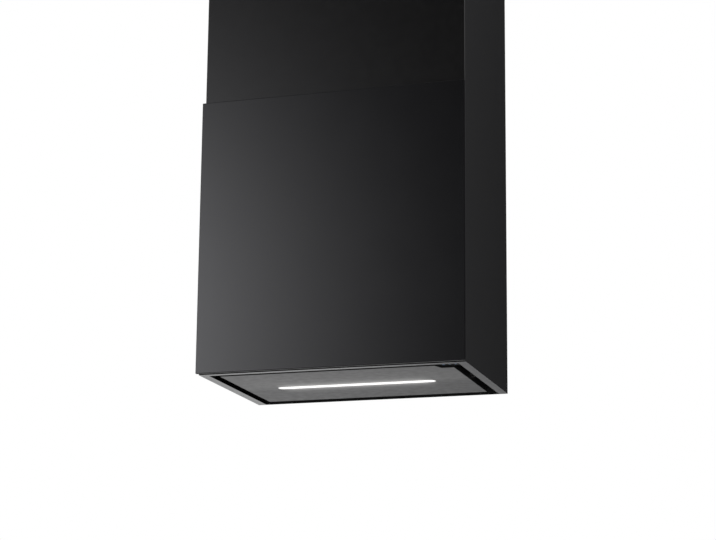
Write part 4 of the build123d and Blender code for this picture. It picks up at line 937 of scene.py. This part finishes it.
class HOOD_OT_inner_box(bpy.types.Operator):
    """Finish the inner sheet box"""

    bl_idname = "hood.inner_box"
    bl_label = "Inner box"

    def execute(self, context):
        dress("motor_box", "box_lid", "box_brackets")
        return {"FINISHED"}


class HOOD_OT_blower(bpy.types.Operator):
    """Finish the blower and its motor"""

    bl_idname = "hood.blower"
    bl_label = "Blower"

    def execute(self, context):
        dress("scroll_left", "scroll_right", "impeller", "motor_shaft", "motor", "motor_bearings")
        dress("motor_grommets", "motor_bracket", "blower_screws")
        return {"FINISHED"}


class HOOD_OT_outlet(bpy.types.Operator):
    """Finish the outlet collar and its flaps"""

    bl_idname = "hood.outlet"
    bl_label = "Outlet"

    def execute(self, context):
        dress("outlet_collar", "damper_pin", "flap_front", "flap_rear")
        return {"FINISHED"}


class HOOD_OT_electrics(bpy.types.Operator):
    """Finish the electrical parts and the leads"""

    bl_idname = "hood.electrics"
    bl_label = "Electrical parts"

    def execute(self, context):
        dress("electronics_box", "electronics_cover", "control_board", "terminal_block", "cable_gland")
        dress("capacitor", "led_driver", "key_lead", "motor_lead", "lamp_lead_panel", "lamp_lead_body")
        return {"FINISHED"}


class HOOD_OT_hanging(bpy.types.Operator):
    """Finish the rail, the hooks and the back panel"""

    bl_idname = "hood.hanging"
    bl_label = "Hanging parts"

    def execute(self, context):
        dress("wall_rail", "hanger_hooks", "back_panel")
        return {"FINISHED"}


class HOOD_OT_fasteners(bpy.types.Operator):
    """Make the screws that hold the lid, the collar and the electronics cover"""

    bl_idname = "hood.fasteners"
    bl_label = "Fasteners"

    def execute(self, context):
        sizes = context.scene.hood_sizes

        def screws(name, across, back, height):
            """A screw wherever one of the x places meets one of the y places."""

            def heads(shape):
                for x in across:
                    for y in back:
                        pan_head(shape, (x, y, height), UP, sizes.screw_head, sizes.screw_rise)

            add_piece(name, heads, "hood", "bright_steel")

        def ends(low, high, inset):
            """Two places, each a short way in from one end."""
            return low + inset, high - inset

        inset = 0.008
        low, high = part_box("box_lid")
        left, right = ends(low.x, high.x, inset)
        # The middle screws stand about a quarter of the way along, clear of the collar
        beside_collar = low.x + 0.24 * (high.x - low.x)
        screws("lid_screws", (left, beside_collar, right), ends(low.y, high.y, inset / 2), high.z)

        flange_top = high.z + sizes.collar_sheet
        corners = [vert.co for vert in frame["nodes"]["outlet_collar"].data.vertices]
        flange = [corner for corner in corners if abs(corner.z - flange_top) < NEAR]
        across = ends(min(co.x for co in flange), max(co.x for co in flange), inset * 0.8)
        back = ends(min(co.y for co in flange), max(co.y for co in flange), inset * 0.8)
        screws("collar_screws", across, back, flange_top)

        low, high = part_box("electronics_cover")
        across, back = ends(low.x, high.x, inset), ends(low.y, high.y, inset)
        screws("cover_screws", across, back, high.z)
        return {"FINISHED"}


# ---------------------------------------------------------------- studio
class HOOD_OT_studio(bpy.types.Operator):
    """Set up the camera, the floor and the light"""

    bl_idname = "hood.studio"
    bl_label = "Studio"

    def execute(self, context):
        studio = context.scene.hood_studio
        self.camera(context, studio)
        self.floor(studio)
        self.world(context, studio)
        self.soft_box("top_light", (0.4, -1.0, 3.2), 4.0, studio.lamp_power)
        self.soft_box("front_light", (1.4, -2.4, 3.0), 3.4, studio.lamp_power)
        self.soft_box("back_light", (-1.6, 3.4, 1.8), 4.0, studio.lamp_power)
        context.scene.view_settings.view_transform = "Standard"
        return {"FINISHED"}

    def camera(self, context, studio):
        """The photograph's view, fitted to the edges of the casing and the glass."""
        data = bpy.data.cameras.new("photo_camera")
        data.sensor_width = SENSOR_WIDTH
        data.lens = studio.lens_px / PHOTO_WIDTH * SENSOR_WIDTH
        data.shift_y = studio.lens_rise
        camera = in_scene("photo_camera", data)
        turn = Matrix.Rotation(studio.heading, 4, "Z") @ Matrix.Rotation(math.pi / 2 + studio.pitch, 4, "X")
        turn = turn @ Matrix.Rotation(studio.roll, 4, "Z")
        camera.matrix_world = Matrix.Translation(studio.place) @ turn
        context.scene.camera = camera

    def floor(self, studio):
        """A wide pale floor that shows from above only and keeps the hood's shadow."""
        half = 60.0
        corners = ((-1, -1), (1, -1), (1, 1), (-1, 1))
        mesh = bpy.data.meshes.new("studio_floor")
        mesh.from_pydata([(x * half, y * half, -studio.floor_drop) for x, y in corners], [], [range(4)])
        floor = in_scene("studio_floor", mesh)
        darker, pale_grey, lighter = ((level, level, level) for level in (0.36, 0.37, 0.38))
        pale = Finish("studio_floor", pale_grey, 0.9)
        pale.coloured(pale.noise(0.7), darker, lighter)
        # Far behind the hood the floor's light fades to nothing from left to right; close by it is even
        far_left, left, behind = (-2.7, -2.2), (-1.62, -1.25), (2.4, 3.6)
        spot = pale.axes(pale.place)
        middle = pale.ranged(spot["X"], studio.floor_middle, 0.0, *left)
        added = pale.ranged(spot["X"], studio.floor_left - studio.floor_middle, 0.0, *far_left)
        close = pale.ranged(spot["Y"], studio.floor_middle, 0.0, *behind)
        share = pale.maths("MAXIMUM", close, pale.maths("ADD", middle, added))
        rays = pale.node("ShaderNodeLightPath").outputs
        glossy = pale.maths("MULTIPLY", rays["Is Glossy Ray"], share)
        direct = pale.maths("MAXIMUM", rays["Is Camera Ray"], rays["Is Transmission Ray"])
        seen_level = 0.75
        pale.lit((1.0, 1.0, 1.0), pale.maths("MULTIPLY", pale.maths("MAXIMUM", glossy, direct), seen_level))
        from_below = pale.node("ShaderNodeNewGeometry").outputs["Backfacing"]
        clear = pale.node("ShaderNodeBsdfTransparent").outputs["BSDF"]
        pale.chosen(from_below, pale.shader.outputs["BSDF"], clear, "Material Output")
        mesh.materials.append(pale.material)

    def world(self, context, studio):
        """White to the camera; for everything else a dim room with windows and light from above."""
        world = bpy.data.worlds.new("studio_world")
        context.scene.world = world
        world.use_nodes = True
        sky = NodeMaker(world.node_tree)
        way = sky.node("ShaderNodeTexCoord").outputs["Generated"]

        def window(heading, pitch, focus):
            """A soft round patch of light, by its angle left of the front and its height."""
            ahead = Vector((-math.sin(heading), -math.cos(heading), math.tan(pitch))).normalized()
            towards = sky.node("ShaderNodeVectorMath", operation="DOT_PRODUCT")
            towards.inputs[1].default_value = ahead
            sky.link(way, towards.inputs[0])
            return sky.maths("POWER", sky.maths("MAXIMUM", towards.outputs["Value"], 0.0), focus)

        main_window = window(studio.window_heading, studio.window_pitch, studio.window_focus)
        level = sky.maths("MULTIPLY_ADD", main_window, studio.window_level, studio.room_level)
        for heading in studio.side_headings:
            side_window = window(heading, studio.side_pitch, studio.side_focus)
            level = sky.maths("MULTIPLY_ADD", side_window, studio.side_level, level)
        axes = sky.axes(way)
        overhead_focus = 8.0
        overhead = sky.maths("POWER", sky.maths("MAXIMUM", axes["Z"], 0.0), overhead_focus)
        level = sky.maths("MULTIPLY_ADD", overhead, studio.overhead_level, level)
        # Behind the hood the wall side is dim in the middle and a little lighter to both sides
        edge, blur, least = studio.wall_edge, 0.02, 0.001
        wallward = sky.maths("MAXIMUM", axes["Y"], least)
        sideways = sky.maths("DIVIDE", sky.maths("ABSOLUTE", axes["X"]), wallward)
        beside = sky.ranged(sideways, 0.0, studio.wall_level, edge - blur, edge + blur)
        behind = sky.maths("GREATER_THAN", axes["Y"], 0.0)
        level = sky.maths("ADD", level, sky.maths("MULTIPLY", beside, behind))
        room = world.node_tree.nodes["Background"]
        room.inputs["Color"].default_value = (*studio.sky_tint, 1.0)
        sky.link(level, room.inputs["Strength"])
        white = sky.node("ShaderNodeBackground")
        white.inputs["Color"].default_value = (1.0, 1.0, 1.0, 1.0)
        to_camera = sky.node("ShaderNodeLightPath").outputs["Is Camera Ray"]
        sky.chosen(to_camera, room.outputs["Background"], white.outputs["Background"], "World Output")

    def soft_box(self, name, place, size, power):
        """A square lamp aimed at the middle of the casing's lower half."""
        data = bpy.data.lights.new(name, "AREA")
        data.size = size
        data.energy = power
        lamp = in_scene(name, data)
        target = Vector((0, -0.16, 0.4))
        lamp.matrix_world = facing(place, Vector(place) - target)
        lamp.visible_camera = False


class HOOD_PT_sidebar(bpy.types.Panel):
    """Lists the hood's operators"""

    bl_label = "Chimney hood"
    bl_space_type = "VIEW_3D"
    bl_region_type = "UI"
    bl_category = "Hood"

    def draw(self, context):
        for operator in PIECES:
            self.layout.operator(operator.bl_idname)


PIECES = (
    HOOD_OT_studio,
    HOOD_OT_casing,
    HOOD_OT_glass,
    HOOD_OT_panel,
    HOOD_OT_lamp,
    HOOD_OT_keys,
    HOOD_OT_filter,
    HOOD_OT_latch,
    HOOD_OT_inner_box,
    HOOD_OT_blower,
    HOOD_OT_outlet,
    HOOD_OT_electrics,
    HOOD_OT_hanging,
    HOOD_OT_fasteners,
)
CLASSES = (HoodSizes, HoodColours, HoodStudio, *PIECES, HOOD_PT_sidebar)


def register():
    for cls in CLASSES:
        bpy.utils.register_class(cls)
    bpy.types.Scene.hood_sizes = PointerProperty(type=HoodSizes)
    bpy.types.Scene.hood_colours = PointerProperty(type=HoodColours)
    bpy.types.Scene.hood_studio = PointerProperty(type=HoodStudio)


def unregister():
    del bpy.types.Scene.hood_studio
    del bpy.types.Scene.hood_colours
    del bpy.types.Scene.hood_sizes
    for cls in reversed(CLASSES):
        bpy.utils.unregister_class(cls)


def main():
    """Makes everything in order."""
    register()
    bpy.ops.hood.studio()
    bpy.ops.hood.casing()
    bpy.ops.hood.glass()
    bpy.ops.hood.panel()
    bpy.ops.hood.lamp()
    bpy.ops.hood.keys()
    bpy.ops.hood.filter()
    bpy.ops.hood.latch()
    bpy.ops.hood.inner_box()
    bpy.ops.hood.blower()
    bpy.ops.hood.outlet()
    bpy.ops.hood.electrics()
    bpy.ops.hood.hanging()
    bpy.ops.hood.fasteners()


if __name__ == "__main__":
    main()
